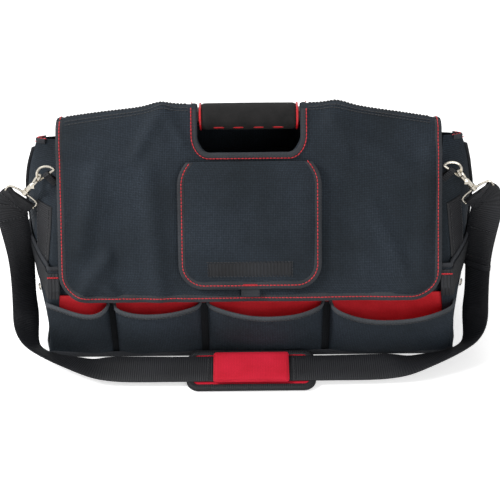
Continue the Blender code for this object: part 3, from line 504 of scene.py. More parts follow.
# Folds pressed into the front cover, in millimetres: x and run of their start and of their end,
# half width and height.
COVER_FOLDS = (
    (-102, 1, -137, 56, 7.5, 6.2), (-104, 1, -80, 46, 6.5, 5),
    (-218, 31, -124, 75, 11, 7), (-187, 69, -206, 156, 11, 6),
    (-124, 81, -112, 231, 11, 6.5), (-162, 119, -156, 225, 9, -5),
    (-218, 231, -174, 175, 8.5, 6.8), (-196, 195, -150, 232, 8, 5),
    (94, 2, 119, 56, 7.5, 5.2), (100, 25, 213, 81, 11, 7),
    (220, 44, 207, 194, 10, 5.6), (113, 106, 126, 219, 9, -5),
    (150, 120, 196, 215, 10, 6), (160, 232, 215, 200, 8, 5),
    (-80, 236, -20, 228, 8, 3), (30, 230, 90, 238, 8, 3),
)
# Heights of the cover's slack: long waves, short waves, over the tube's bends, at the left, most.
DRAPE_LONG = 0.0034
DRAPE_SHORT = 0.0024
SHOULDER_RISE = 0.0032
LEFT_RISE = 0.0042
MOST_RISE = 0.011


def fold_height(x, run):
    spot = Vector((x, run))
    height = 0.0
    for x0, run0, x1, run1, width, rise in COVER_FOLDS:
        start = Vector((x0, run0)) * MM
        way = Vector((x1, run1)) * MM - start
        share = min(max((spot - start).dot(way) / way.length_squared, 0), 1)
        height += rise * MM * bell((spot - start - way * share).length, width * MM)
    return height * (0.35 + 0.65 * smooth_step(run / 0.030))


def cover_waves(x, run, side=-1):
    """How far the cloth stands off its frame: least at the ridge and the hem, and never far."""
    free = sin(pi * min(max(run / cover_run(0, side), 0), 1)) ** 0.7
    long = 0.5 + 0.5 * ripple(x, run, side, 9.0, 3.1)
    short = 0.5 + 0.5 * ripple(x * 1.6, run * 0.7, side, 21.0, 8.4)
    drape = DRAPE_LONG * free * long + DRAPE_SHORT * free * short
    shoulder = bell(abs(x) - HANDLE_LEVEL - 0.004, 0.016) * bell(run - 0.02, 0.05)
    left = smooth_step((-x - HANDLE_LEVEL) / 0.12) * bell(run, 0.09)
    folds = fold_height(x, run) if side < 0 else 0.0
    stand = max(drape + SHOULDER_RISE * shoulder + LEFT_RISE * left + folds, 0.0)
    return MOST_RISE * tanh(stand / MOST_RISE)


def on_cover(x, run, side=-1, lift=0.0):
    return flat_cover(x, run, side, lift + cover_waves(x, run, side))


def end_bow(z):
    if z < END_BOW_HEIGHT:
        share = sin(pi / 2 * z / END_BOW_HEIGHT)
        return mix(END_BOW_BASE, END_BOW_WIDEST, share)
    past = (z - END_BOW_HEIGHT) / (END_TOP - END_BOW_HEIGHT)
    return mix(END_BOW_WIDEST, END_BOW_TOP, past * past)


def end_edge(z):
    return mix(BASE_LENGTH, END_TOP_LENGTH, min(z / PANEL_TOP, 1.0)) / 2


def wall_line(z, x=0.0):
    """How deep the body is at a height: upright walls, then the slope under the cover."""
    _, turn, _ = cover_section(x, -1)
    sloped = (TUBE_RADIUS - 0.0006 + (handle_centre(x) - z) * cos(turn)) / sin(turn)
    return min(HALF_DEPTH, sloped)


def end_half_depth(z):
    if z <= WALL_HEIGHT:
        return HALF_DEPTH - CLOTH
    line = wall_line(z, COVER_HALF) - END_INSET * smooth_step((z - WALL_HEIGHT) / WALL_HEIGHT)
    return min(line, HALF_DEPTH) - CLOTH


def end_waves(side, y, z):
    """Creases of a soft end: a slack band at mid height and small folds all over it."""
    slack = 0.0016 * ripple(side, y, z, 16.0, 5.7) + 0.0008 * ripple(side, y, z, 42.0, 1.3)
    return slack - 0.0012 * bell(z - 0.105, 0.014)


def on_end(side, z, y, out=0.0):
    share = min(abs(y) / end_half_depth(z), 1.0)
    x = mix(end_edge(z), end_bow(z), 1 - share ** 1.6)
    return Vector((side * (x + out + end_waves(side, y, z)), y, z))


def end_out(side, z, y):
    across = on_end(side, z, y + 0.002) - on_end(side, z, y - 0.002)
    up = on_end(side, z + 0.002, y) - on_end(side, z - 0.002, y)
    return (across.cross(up) * side).normalized()


def round_corner(side, z, reach, out=0.0):
    """A point of the end's lower piece. Reach is metres from the front corner: below nothing it
    goes round the corner, in a bend of 4 mm, and on along the front."""
    half_depth = end_half_depth(z)
    if reach > 0:
        return on_end(side, z, -half_depth + reach, out)
    turn = min(-reach / 0.004, 1) * pi / 2
    way = Vector((side * cos(turn), -sin(turn), 0)) * (out + 0.0008)
    way += Vector((-side * max(-reach - 0.004, 0), -CLOTH * sin(turn), 0))
    return on_end(side, z, -half_depth) + way


def on_pocket(index, rise, share, out=0.0):
    """A point on a front pocket: share runs along it, rise from foot to mouth."""
    left, right, fullness, peak, dip = POCKETS[index]
    across = max(sin(pi * share ** (log(0.5) / log(peak))), 0.0)
    z = (POCKET_HEIGHT - dip * across ** 0.8) * rise
    swell = POCKET_FOOT + (POCKET_BULGE * fullness - POCKET_FOOT) * sin(rise * pi / 2)
    x = mix(left * BASE_LENGTH, right * BASE_LENGTH, share)
    crease = 0.0011 * ripple(x, 0, z, 26.0, index * 4.3) * across
    return Vector((x, -HALF_DEPTH - 0.0043 - across ** 0.40 * swell - crease - out, z))


def run_at_height(x, z, side=-1):
    """The run down the cover at which it passes a height."""
    centre, turn, _ = cover_section(x, side)
    return RIDGE_RADIUS * turn + (centre.y + cos(turn) * RIDGE_RADIUS - z) / sin(turn)


def rear_seam_share():
    """How far down the rear cover its seam lies, as a share of the run to the hem's height."""
    drop = HANDLE_HEIGHT - flat_cover(0, cover_run(0, 1), 1).z
    return (HANDLE_HEIGHT - REAR_SEAM_HEIGHT) / drop


def hem_rows(top, bottom, radius, straight, curved):
    """(run, inset) rows of a panel whose lower corners are round."""
    rows = [(run, 0) for run in spread(straight, top, bottom - radius)]
    for turn in spread(curved, 0, pi / 2)[1:]:
        distance = radius * (1 - sin(turn))
        inset = radius - sqrt(radius * radius - (radius - distance) ** 2)
        rows.append((bottom - distance, inset))
    return rows


def hem_path(half, top, bottom, radius, out, count):
    """(x, run, turn) along a panel's side, round its corner and along its hem, set out from it."""
    edge = [(half + out, run, 0) for run in spread(count, top, bottom - radius)]
    for turn in spread(11, 0, pi / 2)[1:]:
        edge.append((half - radius + (radius + out) * cos(turn),
                     bottom - radius + (radius + out) * sin(turn), turn))
    edge += [(x, bottom + out, pi / 2) for x in spread(count // 2, half - radius, 0)[1:]]
    return edge + [(-x, run, pi - turn) for x, run, turn in reversed(edge[:-1])]


# The lofted body

def shell_columns():
    """The body's outline: along the front, round the right end, along the back, round the left."""
    return ([("wall", -1, x) for x in spread(57, -COVER_HALF, COVER_HALF)]
            + [("end", 1, share) for share in spread(27, -1, 1)]
            + [("wall", 1, x) for x in spread(57, COVER_HALF, -COVER_HALF)]
            + [("end", -1, share) for share in spread(27, 1, -1)])


def shell_point(column, rise, out):
    kind, side, place = column
    if kind == "end":
        z = END_TOP * rise
        return on_end(side, z, end_half_depth(z) * place, out)
    z = PANEL_TOP * rise
    belly = 0.0
    if side > 0:
        low = sin(pi * min(z / 0.135, 1.0))
        slack = 0.0022 + 0.0020 * ripple(place, side, z, 14.0, 2.2)
        belly = low * slack * cos(pi * place / BASE_LENGTH)
    return Vector((place, side * (wall_line(z, abs(place)) + out + belly), z))


def make_shell():
    columns = shell_columns()
    rises = spread(49, 0, 1)
    outer, inner = [[[shell_point(column, rise, out) for column in columns] for rise in rises]
                    for out in (0, -CLOTH)]
    for point in inner[0]:
        point.z = CLOTH
    build, uv = start_build()
    outside = lay_grid(build, uv, outer, closed=True)
    inside = lay_grid(build, uv, inner, flip=True, closed=True)
    join_edges(build, outside[-1], inside[-1])
    for ring in (list(reversed(outside[0])), inside[0]):
        for corner in build.faces.new(ring).loops:
            corner[uv].uv = corner.vert.co.xy
    bmesh.ops.recalc_face_normals(build, faces=build.faces)
    settle(finished("bag_shell", build, BAG_CLOTH), "bag", "bag_cloth", "base_panel",
           "front_panel", "back_panel", "end_panel_left", "end_panel_right")


def lining_point(z, x, face):
    """The lining's outer face has creases of its own; its inner face lies on the front panel."""
    out, creased = face
    crease = abs(0.0009 * ripple(x, 0, z, 30.0, 6.0) * z / LINING_HEIGHT) * creased
    top = 0.0012 * ripple(x, 1, 0, 22.0, 1.7) * z / LINING_HEIGHT
    return Vector((x, -HALF_DEPTH - 0.0003 - out - crease, z + top))


def make_lining():
    """The red wall that shows over the pockets' mouths."""
    sheet("front_lining_cloth", spread(12, 0, LINING_HEIGHT), spread(90, -0.2463, 0.2463),
          lining_point, ((0.0016, 1), (0.0002, 0)), LINING, "bag", "lining_cloth", "front_lining")


def make_front_pocket(index):
    tag = index + 1
    shares = spread(61, 0, 1)
    rises = spread(22, 0, 1)
    place = partial(on_pocket, index)
    sheet(f"pocket_cloth_{tag}", rises, shares, place, (0.0, -0.0013), BAG_CLOTH, "bag",
          "bag_cloth", f"front_pocket_{tag}")
    sheet(f"pocket_lining_{tag}", rises[:-1], shares[1:-1], place, (-0.0014, -0.0021), LINING,
          "bag", "lining_cloth")
    stations = []
    for share in shares:
        down = place(1.0, share, -0.0008) - place(0.94, share, -0.0008)
        along = place(0.968, min(share + 0.01, 1), 0) - place(0.968, max(share - 0.01, 0), 0)
        stations.append((place(0.968, share, -0.0008), down, along.cross(down)))
    tape(f"pocket_binding_{tag}", stations, 0.0066, 0.0036, MOUTH_TAPE)
    path = [(place(0.945, share, 0.0014), place(0.945, share, 0.0014) - place(0.945, share, 0.0))
            for share in shares[2:-2]]
    stitches(f"pocket_stitches_{tag}", path, DARK_THREAD)


# A gusset's cross-section: (share of its half width, how deep it is folded in).
GUSSET_FOLD = ((-1, 0.0030), (-0.5, 0.0012), (0, 0.0004), (0.5, 0.0012), (1, 0.0030))


def make_gussets():
    """The folded gussets in the valleys between the pockets, in near black cloth that paints the
    shade there.
    """
    for number, middle in enumerate((-0.172, -0.0575, 0.0945)):
        sheet(f"pleat_{number + 1}", spread(14, 0.001, 0.086), GUSSET_FOLD, lambda z, fold, y:
              Vector((middle + fold[0] * (0.0062 - 0.0012 * (z / 0.086)), y - fold[1] * 0.55, z)),
              (-0.1172, -0.1162), GUSSET_SHADE_CLOTH, "bag", "bag_cloth")


def make_base_welt():
    """The taped seam round the foot of the bag."""
    stations = []
    for column in shell_columns():
        kind, side, place = column
        low = shell_point(column, 0.0, 0.0)
        front = side < 0 if kind == "wall" else place < 0
        if kind == "wall":
            out = BACK * side
            reach = 0.0072 if front else 0.0012
        else:
            share = abs(place) ** 6
            out = (shell_point(column, 0.0, 0.01) - low).normalized()
            out = (out * (1 - share) + BACK * copysign(share, place)).normalized()
            reach = mix(0.0060, 0.0075 if front else 0.0012, share)
        stations.append((low + out * reach + UP * 0.0052, UP, out))
    tape("base_welt", stations, 0.0085, 0.0022, EDGE_TAPE, closed=True)


# The ends

END_SEAT = 0.0009
# The lower piece begins on the front, 15 mm round the corner, and ends near the back.
END_REACHES = spread(14, -0.0150, 0) + spread(40, 0, 0.200)[1:]
STRIP_TOP = 0.184


def make_end(tag, side):
    corner = partial(round_corner, side)
    flat = partial(on_end, side)
    half = end_half_depth(END_TOP)

    sheet(f"end_piece_{tag}", spread(30, 0.0005, END_MOUTH), END_REACHES, corner,
          (END_SEAT + 0.0032, END_SEAT), BAG_CLOTH, "bag", "bag_cloth", f"end_pocket_{tag}")
    sheet(f"elastic_band_{tag}", spread(30, END_MOUTH - 0.033, END_MOUTH - 0.004), END_REACHES,
          corner, (END_SEAT + 0.0050, END_SEAT + 0.0034), ELASTIC, "bag", "webbing")
    stations = []
    for reach in END_REACHES:
        place = corner(END_MOUTH - 0.0015, reach, END_SEAT + 0.0020)
        out = corner(END_MOUTH - 0.0015, reach, END_SEAT + 0.0060) - place
        stations.append((place, UP, out))
    tape(f"end_mouth_binding_{tag}", stations, 0.0085, 0.0042, EDGE_TAPE)

    sheet(f"end_webbing_strip_{tag}", spread(40, END_MOUTH + 0.0015, STRIP_TOP),
          lambda z: spread(11, -0.95 * end_half_depth(z), -0.62 * end_half_depth(z)), flat,
          (END_SEAT + 0.0022, END_SEAT + 0.0002), WEBBING, "bag", "webbing", f"end_webbing_{tag}")
    sheet(f"end_seam_tape_{tag}", spread(50, END_MOUTH + 0.0015, END_TOP - 0.014),
          spread(7, 0.0004, 0.0080), flat, (END_SEAT + 0.0030, END_SEAT), EDGE_TAPE, "bag",
          "binding", f"end_binding_{tag}")
    bartack(f"end_bartack_{tag}", corner(END_MOUTH - 0.0075, -0.0075, 0.0066), RIGHT, -BACK, 0.0125,
            "bag")

    rim = [(flat(END_TOP - 0.0035, half * share, -CLOTH / 2), UP,
            end_out(side, END_TOP - 0.004, half * share)) for share in spread(50, -0.985, 0.985)]
    tape(f"end_rim_tape_{tag}", rim, 0.0085, 0.0050, EDGE_TAPE)
    crest = [(place + UP * 0.0042, UP) for place, _, _ in rim[1:-1]]
    path = [(flat(END_TOP - 0.0045, half * share, ON_TAPE),
             end_out(side, END_TOP - 0.006, half * share)) for share in spread(50, -0.95, 0.95)]
    stitches(f"end_rim_stitches_{tag}", path, THREAD)
    stitches(f"end_crest_stitches_{tag}", crest, THREAD)
    for number, share in enumerate((-0.92, -0.65)):
        path = [(flat(z, share * end_half_depth(z), END_SEAT + 0.0024),
                 end_out(side, z, share * end_half_depth(z)))
                for z in spread(24, END_MOUTH + 0.005, STRIP_TOP - 0.003)]
        stitches(f"strip_stitches_{tag}_{number + 1}", path, DARK_THREAD, "bag", "webbing")


# The cover

COVER_BODIES = ((-1, "front_cover", ""), (1, "rear_cover", "rear_"))
BINDING_OUT = 0.0010
BINDING_WIDTH = 0.0100
BINDING_THICK = 0.0050


def cover_rows(side):
    total = cover_run(0, side)
    arc = RIDGE_RADIUS * cover_section(0, side)[1]
    rows = [(run, 0) for run in spread(9, 0.00015, arc)]
    if side < 0:
        return rows + hem_rows(arc, total, HEM_CORNER, 44, 12)[1:]
    return rows + [(run, 0) for run in spread(34, arc, rear_seam_share() * total)[1:]]


def make_slot_cutter():
    """The hand slot's outline, cut straight through both panels from front to back."""
    outline = [(SLOT_HALF, 0.310), (SLOT_HALF, 0.2690), (0.0605, 0.2630), (0.0565, 0.2570),
               (0.0530, 0.2536), (0.0480, SLOT_FLOOR)]
    outline += [(-x, z) for x, z in reversed(outline)]
    rings = [[Vector((x, y, z)) for x, z in outline] for y in (-0.2, 0.2)]
    return sleeve("slot_cutter", rings, BAG_CLOTH, smooth_angle=20)


def make_cover_panel(side, body, cutter):
    total = cover_run(0, side)
    panel = sheet(f"{body}_cloth", cover_rows(side),
                  lambda row: spread(121, -COVER_HALF + row[1], COVER_HALF - row[1]),
                  lambda row, x, lift: on_cover(x, row[0] / total * cover_run(x, side), side, lift),
                  (0.0, -CLOTH), BAG_CLOTH)
    flap = "front_flap" if side < 0 else "rear_flap"
    settle(carve(panel, cutter), body, "bag_cloth", flap, over_ridge=side < 0)


def cover_station(x, run, turn, side, lift):
    """Place, across and face of a tape on the cover, at a run that is measured on its middle."""
    scaled = run / cover_run(0, side) * cover_run(x, side)
    across = RIGHT * cos(turn) + cover_down(x, scaled, side) * sin(turn)
    held = min(max(x, -COVER_HALF), COVER_HALF)
    waves = cover_waves(held, min(scaled, cover_run(x, side)), side)
    return flat_cover(x, scaled, side, lift + waves), across, cover_out(x, scaled, side)


def make_edge(names, paths, side, body, *nodes):
    """The binding along a panel's edge, and the red stitches on it."""
    binding, seam = paths
    stations = [cover_station(*spot, side, -CLOTH / 2) for spot in binding]
    tape(names[0], stations, BINDING_WIDTH, BINDING_THICK, EDGE_TAPE, body, "binding", *nodes,
         over_ridge=side < 0)
    path = [cover_station(*spot, side, ON_TAPE)[::2] for spot in seam]
    stitches(names[1], path, THREAD, body, over_ridge=side < 0)


def make_cover_edges():
    total = cover_run(0)
    paths = [hem_path(COVER_HALF, top, total, HEM_CORNER, out, 70)
             for top, out in ((0.001, BINDING_OUT), (0.004, BINDING_OUT + 0.0002))]
    make_edge(("cover_binding", "cover_binding_stitches"), paths, -1, "front_cover", "flap_binding")
    runs = spread(50, 0.001, rear_seam_share() * cover_run(0, 1) - 0.001)
    for tag, way in SIDES:
        paths = [[(way * (COVER_HALF + out), run, 0) for run in runs]
                 for out in (BINDING_OUT, BINDING_OUT + 0.0002)]
        names = (f"rear_cover_binding_{tag}", f"rear_cover_stitches_{tag}")
        make_edge(names, paths, 1, "rear_cover")


def cover_line(points, side=-1, lift=ON_CLOTH):
    return [(on_cover(x, run, side, lift), cover_out(x, run, side)) for x, run in points]


def slot_edge(side, out):
    """(x, run) along the hand slot's edge, set out from it, from near the ridge down and up."""
    half = SLOT_HALF + out
    floor = SLOT_FLOOR - out * 0.9
    arc = RIDGE_RADIUS * cover_section(0, side)[1]
    edge = [(-half, run) for run in spread(16, arc * 0.45, run_at_height(half, 0.2700, side))]
    radius = (0.0185 + out * 0.6) * 0.92
    for turn in spread(12, 0, pi / 2)[1:]:
        x = -(half - radius) - radius * cos(turn)
        edge.append((x, run_at_height(x, mix(0.2700, floor, sin(turn)), side)))
    edge += [(x, run_at_height(x, floor, side)) for x in spread(20, -(half - radius), 0)[1:]]
    return edge + [(-x, run) for x, run in reversed(edge[:-1])]


def make_cover_stitches():
    for number, run in enumerate((0.0042, 0.0080)):
        for tag, low, high in (("left", -0.2215, -0.0745), ("right", 0.0745, 0.2215)):
            for side, body, stem in COVER_BODIES:
                path = cover_line([(x, run) for x in spread(60, low, high)], side)
                stitches(f"{stem}ridge_stitches_{tag}_{number + 1}", path, DARK_THREAD, body,
                         "bag_cloth", over_ridge=side < 0)
    for side, body, stem in COVER_BODIES:
        path = cover_line(slot_edge(side, 0.0068), side, 0.0016)
        stitches(f"{stem}slot_stitches", path, THREAD, body, over_ridge=side < 0)
        edge = slot_edge(side, 0.0040)
        path = cover_line(edge, side, -CLOTH / 2)
        x, run = edge[0]
        ways = [flat_cover(x, run + 0.002, side) - flat_cover(x, run, side)]
        ways += [after[0] - before[0] for before, after in zip(path, path[1:])]
        stations = [(place, way.cross(out), out) for way, (place, out) in zip(ways, path)]
        tape(f"{stem}slot_binding", stations, 0.0088, 0.0048, EDGE_TAPE, body,
             over_ridge=side < 0)


def make_rear_seam():
    """The tape along the back seam that the cover turns on."""
    stations = []
    for x in spread(80, -COVER_HALF, COVER_HALF):
        run = rear_seam_share() * cover_run(x, 1)
        down = cover_down(x, run, 1)
        place = flat_cover(x, run, 1, -CLOTH / 2 + 0.0006) + down * 0.0034
        stations.append((place, down, cover_out(x, run, 1)))
    tape("rear_seam_tape", stations, 0.0072, 0.0040, EDGE_TAPE, "bag", "binding", "flap_seam_tape")


# The accessory pocket on the front cover

def pouch_swell(x, run):
    across = max(1 - (2 * x / POUCH_LENGTH) ** 4, 0)
    down = max(1 - ((run - LID_TOP - POUCH_HEIGHT / 2) / (POUCH_HEIGHT / 2)) ** 4, 0)
    return POUCH_SWELL * across * down


def lid_lift(x, run):
    """How far the lid stands off the cover: it lies over a soft pouch, slack at its middle."""
    down = (run - LID_TOP) / LID_HEIGHT
    slack = 0.0014 * ripple(x * 1.3, run, 4, 24.0, 5.5) + 0.0010 * ripple(x, run, 9, 55.0, 1.9)
    return LID_SEAT + pouch_swell(x, run) + slack * sin(pi * min(max(down, 0), 1))


def lid_taper(run):
    """The lid is narrower where it is sewn on."""
    return 0.0120 * max(1 - (run - LID_TOP) / 0.030, 0) ** 2.2


def on_lid(points, lift):
    return [(on_cover(x, run, -1, lid_lift(x, run) + lift), cover_out(x, run)) for x, run in points]


def panel_on_cover(name, half, rows, seat, thick, finish, columns, *where, taper=None):
    """A panel that lies on the cover: rows are (run, inset), seat(x, run) is what it lies on."""
    def columns_of(row):
        reach = half - row[1] - (taper(row[0]) if taper else 0)
        return spread(columns, -reach, reach)

    def place(row, x, lift):
        return on_cover(x, row[0], -1, seat(x, row[0]) + lift)

    sheet(name, rows, columns_of, place, (thick, 0.0), finish, *where)


def straight_rows(count, top, bottom):
    return [(run, 0) for run in spread(count, top, bottom)]


def make_accessory_pocket():
    panel_on_cover("accessory_pouch", POUCH_LENGTH / 2,
                   hem_rows(LID_TOP + 0.010, LID_TOP + POUCH_HEIGHT, LID_CORNER, 30, 9),
                   lambda x, run: ON_CLOTH + pouch_swell(x, run) * 0.9, 0.0016, BAG_CLOTH, 61,
                   "front_cover", "bag_cloth", "accessory_pocket")
    top = LID_TOP + POUCH_HEIGHT - 0.0193
    for name, lift, body in (("loop_tape", 0.0022, "front_cover"),
                             ("hook_tape", 0.0037, "pocket_cover")):
        panel_on_cover(f"{name}_strip", 0.051, straight_rows(6, top, top + 0.019),
                       lambda x, run: lift + pouch_swell(x, run), 0.0012, ELASTIC, 25, body,
                       "webbing", name)
    panel_on_cover("lid_cloth", LID_HALF, hem_rows(LID_TOP, LID_END, LID_CORNER, 40, 11), lid_lift,
                   0.0018, BAG_CLOTH, 71, "pocket_cover", "bag_cloth", "pocket_flap",
                   taper=lid_taper)
    edge = [(x - copysign(lid_taper(run), x), run, turn) for x, run, turn
            in hem_path(LID_HALF, LID_TOP + 0.001, LID_END, LID_CORNER, -0.0040, 50)]
    points = [spot[:2] for spot in edge]
    stations = [(place, RIGHT * cos(turn) + cover_down(x, run) * sin(turn), face)
                for (place, face), (x, run, turn) in zip(on_lid(points, 0.0009), edge)]
    tape("lid_binding", stations, 0.0098, 0.0036, EDGE_TAPE, "pocket_cover")
    stitches("lid_binding_stitches", on_lid(points, 0.0027), THREAD, "pocket_cover")

    # The hook tape shows through the lid as ribs inside a box of black stitches.
    top = LID_END - 0.033
    box = [(-0.0510, top), (0.0510, top), (0.0510, top + 0.0180), (-0.0510, top + 0.0180)]
    points = [(mix(x0, x1, share), mix(run0, run1, share))
              for (x0, run0), (x1, run1) in zip(box, box[1:] + box[:1])
              for share in spread(14, 0, 1)[:-1]]
    stitches("tape_box_stitches", on_lid(points + box[:1], 0.0020), DARK_THREAD, "pocket_cover",
             "bag_cloth")
    panel_on_cover("tape_seen_through", 0.0500, straight_rows(8, top + 0.0010, top + 0.0170),
                   lambda x, run: lid_lift(x, run) + 0.0016, 0.0005, ELASTIC, 41, "pocket_cover",
                   "webbing")
    [(spot, face)] = on_lid([(0.0, LID_END - 0.0045)], 0.0030)
    bartack("lid_bartack", spot, RIGHT, face, 0.0160, "pocket_cover")
    panel_on_cover("pull_tab_webbing", 0.0112, straight_rows(8, LID_END - 0.006, LID_END + 0.0105),
                   lambda x, run: LID_SEAT - 0.0022, 0.0022, EDGE_TAPE, 9, "pocket_cover",
                   "webbing", "pull_tab")


# The handle

GRIP_HALF = 0.0570
HANDLE_MIDDLE = Vector((0, 0, HANDLE_HEIGHT))
# The collar's outline as (along, radius), and the way that the grip's red inlays face.
COLLAR_OUTLINE = ((0, 0.0135), (0, 0.0160), (0.0006, 0.0167), (0.0018, 0.0167), (0.0024, 0.0160),
                  (0.0024, 0.0118), (0.0030, 0.0116))
INLAY_FACE = Vector((0, -0.880, -0.475)).normalized()


def make_handle():
    nodes = frame["nodes"]
    for name in ("handle_tube", "tube_foot_left", "tube_foot_right"):
        paint(nodes[name], TUBE_STEEL)
    paint(nodes["grip_core"], COLLAR)
    paint(nodes["base_board"], BOARD)
    profile = [(-GRIP_HALF, 0.0136)]
    for share in spread(41, 0, 1):
        ends = min(share, 1 - share) * 2 * GRIP_HALF
        roundness = 1 - max(1 - ends / 0.004, 0) ** 2 * 0.10
        profile.append((mix(-GRIP_HALF, GRIP_HALF, share),
                        (0.01595 + 0.00025 * sin(pi * share)) * roundness))
    profile.append((GRIP_HALF, 0.0136))
    grip = turned("handle_foam", profile, FOAM, HANDLE_MIDDLE, RIGHT, 56)
    settle(grip, "bag", "grip_foam", "handle_grip")
    for tag, way in SIDES:
        ring = turned(f"grip_collar_{tag}", COLLAR_OUTLINE, COLLAR,
                      HANDLE_MIDDLE + RIGHT * way * (GRIP_HALF + 0.0002), RIGHT * way, 48)
        settle(ring, "bag", "collar_plastic")
    around = Vector((0, -INLAY_FACE.z, INLAY_FACE.y))
    for number, place in enumerate((-0.0360, -0.0125, 0.0120, 0.0355)):
        sections = [(HANDLE_MIDDLE + RIGHT * (place + 0.0066 * share) + INLAY_FACE * 0.0160,
                     around * 0.0016, INLAY_FACE * 0.0006,
                     sqrt(max(1 - abs(share) ** 6, 0.05))) for share in spread(9, -1, 1)]
        inlay = threads(f"grip_inlay_{number + 1}", [sections], COLLAR, 12, 50)
        settle(inlay, "bag", "collar_plastic")


# The shoulder strap

STRAP_WIDTH = 0.038
STRAP_THICK = 0.0022
STRAP_SIDE = 0.2925
STRAP_FRONT = 0.160
STRAP_TILT = radians(11)
STRAP_WRAP = 0.0038
# How long each end is folded back, and how far the plies are apart at the fold's end.
STRAP_FOLDS = {-1: 0.032, 1: 0.098}
STRAP_FOLD_END = 0.0028
STRAP_SEAM = STRAP_THICK / 2 + 0.0003
# Half of the strap's line, in shares of its side, its front and its width.
STRAP_LINE = ((0.992, 0.33, 2.95), (0.992, 0.47, 1.20), (0.945, 0.775, 0.58), (0.725, 0.950, 0.37))
STRAP_FRONTS = ((0.572, 0.99), (0.336, 1.0))
STRAP_ACROSS = ((0.72, 0.69, 0.0), (0.60, 0.80, 0.0), (0.36, 0.63, -0.62), (0.15, 0.93, -0.25))
# The flat middle that the pad slides on: its place, the way across it and the way out of it.
PAD_MIDDLE = Vector((0, -STRAP_FRONT, 0.01314))
PAD_ACROSS = Vector((0, cos(STRAP_TILT), sin(STRAP_TILT)))
PAD_OUT = Vector((0, -sin(STRAP_TILT), cos(STRAP_TILT)))


def curve_point(points, share):
    """A point on a smooth curve through points."""
    spans = len(points) - 1
    place = min(max(share, 0), 1) * spans
    index = min(int(place), spans - 1)
    local = place - index
    before, start, end, after = [points[min(max(index + step, 0), spans)] for step in (-1, 0, 1, 2)]
    bend = (before * 2 - start * 5 + end * 4 - after) * local ** 2
    turn = (start * 3 - before - end * 3 + after) * local ** 3
    return (start * 2 + (end - before) * local + bend + turn) / 2


def round_bar(count, middle, bar, start, top, radius):
    """Stations half way round a bar, between its two ends."""
    outs = [start * cos(turn) + top * sin(turn) for turn in spread(count, 0, pi)[1:-1]]
    return [(middle + out * radius, bar, out) for out in outs]


def strap_half(side):
    """Stations from the end that is folded back, round the eye's bar and on to the middle."""
    middle = Vector((side * 0.28504, -0.036, 0.18809))
    bar = Vector((-side * 0.74314, 0, -0.66913))
    shank = Vector((side * 0.66913, 0, -0.74314))
    start = middle + BACK * STRAP_WRAP
    line = [start, start + shank * STRAP_WIDTH / 2]
    flat = [(x, y, PAD_MIDDLE.z / STRAP_WIDTH) for x, y in STRAP_FRONTS]
    line += [Vector((side * STRAP_SIDE * x, -STRAP_FRONT * y, STRAP_WIDTH * z))
             for x, y, z in [*STRAP_LINE, *flat]]
    ways = [bar, bar] + [Vector((-side * x, y, z)) for x, y, z in STRAP_ACROSS]
    ways += [PAD_ACROSS, PAD_ACROSS]
    steps = 70
    main = []
    for share in (step / steps for step in range(steps + 1)):
        along = curve_point(line, share + 0.5 / steps) - curve_point(line, share - 0.5 / steps)
        along.normalize()
        across = curve_point(ways, share)
        across = (across - along * across.dot(along)).normalized()
        main.append((curve_point(line, share), across, along.cross(across)))
    fold = []
    for centre, across, face in main:
        gone = (centre - main[0][0]).length / STRAP_FOLDS[side]
        if gone <= 1:
            apart = mix(2 * STRAP_WRAP, STRAP_FOLD_END, gone)
            fold.insert(0, (centre - face * side * apart, across, -face))
    wrap = [(centre, bar, out * side) for centre, bar, out
            in round_bar(13, middle, bar, -BACK, -shank, STRAP_WRAP)]
    return fold, wrap, main


def make_strap():
    folds = {}
    ends = {}
    for _, side in SIDES:
        folds[side], wrap, main = strap_half(side)
        ends[side] = folds[side] + wrap + main
    back = [(centre, across, -face) for centre, across, face in reversed(ends[1])]
    tape("shoulder_webbing", ends[-1] + back, STRAP_WIDTH, STRAP_THICK, WEBBING, "strap", "webbing",
         "shoulder_strap")
    block = [(centre - face * 0.0014, across, face) for centre, across, face in main
             if abs((centre - main[0][0]).length - STRAP_FOLDS[1]) < 0.008]
    tape("sewn_block", block, STRAP_WIDTH + 0.0016, 0.0078, WEBBING, "strap", "webbing")
    for tag, side in SIDES:
        fold = folds[side]
        for number, share in enumerate((0.06, 0.30, 0.55)):
            centre, across, face = fold[int(share * len(fold))]
            out = face * -copysign(1, face.y)
            line = [(centre + across * 0.0165 * share + out * STRAP_SEAM, out)
                    for share in spread(12, -1, 1)]
            name = f"fold_stitches_{tag}_{number + 1}"
            stitches(name, line, DARK_THREAD, "strap", "webbing")


def on_pad(x, y, out):
    return PAD_MIDDLE + RIGHT * x + PAD_ACROSS * y + PAD_OUT * out


def cushion(name, length, width, low, high, corner, crown):
    """A padded plate: full at its middle, thin and rounded at its edge."""
    def place(across, along, face):
        x = along * length / 2
        y = across * width / 2
        over_x = max(abs(x) - (length / 2 - corner), 0)
        over_y = max(abs(y) - (width / 2 - corner), 0)
        gone = hypot(over_x, over_y)
        if gone > corner:
            x = copysign(length / 2 - corner + over_x * corner / gone, x)
            y = copysign(width / 2 - corner + over_y * corner / gone, y)
        edge = min(corner - min(gone, corner), 0.004) / 0.004
        lift = (low + high) / 2
        lift += face * (high - low) / 2 * sqrt(max(1 - (1 - edge) ** 2, 0.04))
        if face > 0:
            dome = (1 - along ** 4) * (1 - across ** 4)
            lift += crown * dome + 0.0004 * ripple(x, y, 2, 60.0, 3.0) * dome
        return on_pad(x, y, lift)

    return sheet(name, spread(15, -1, 1), spread(41, -1, 1), place, (1, -1), PAD_MESH)


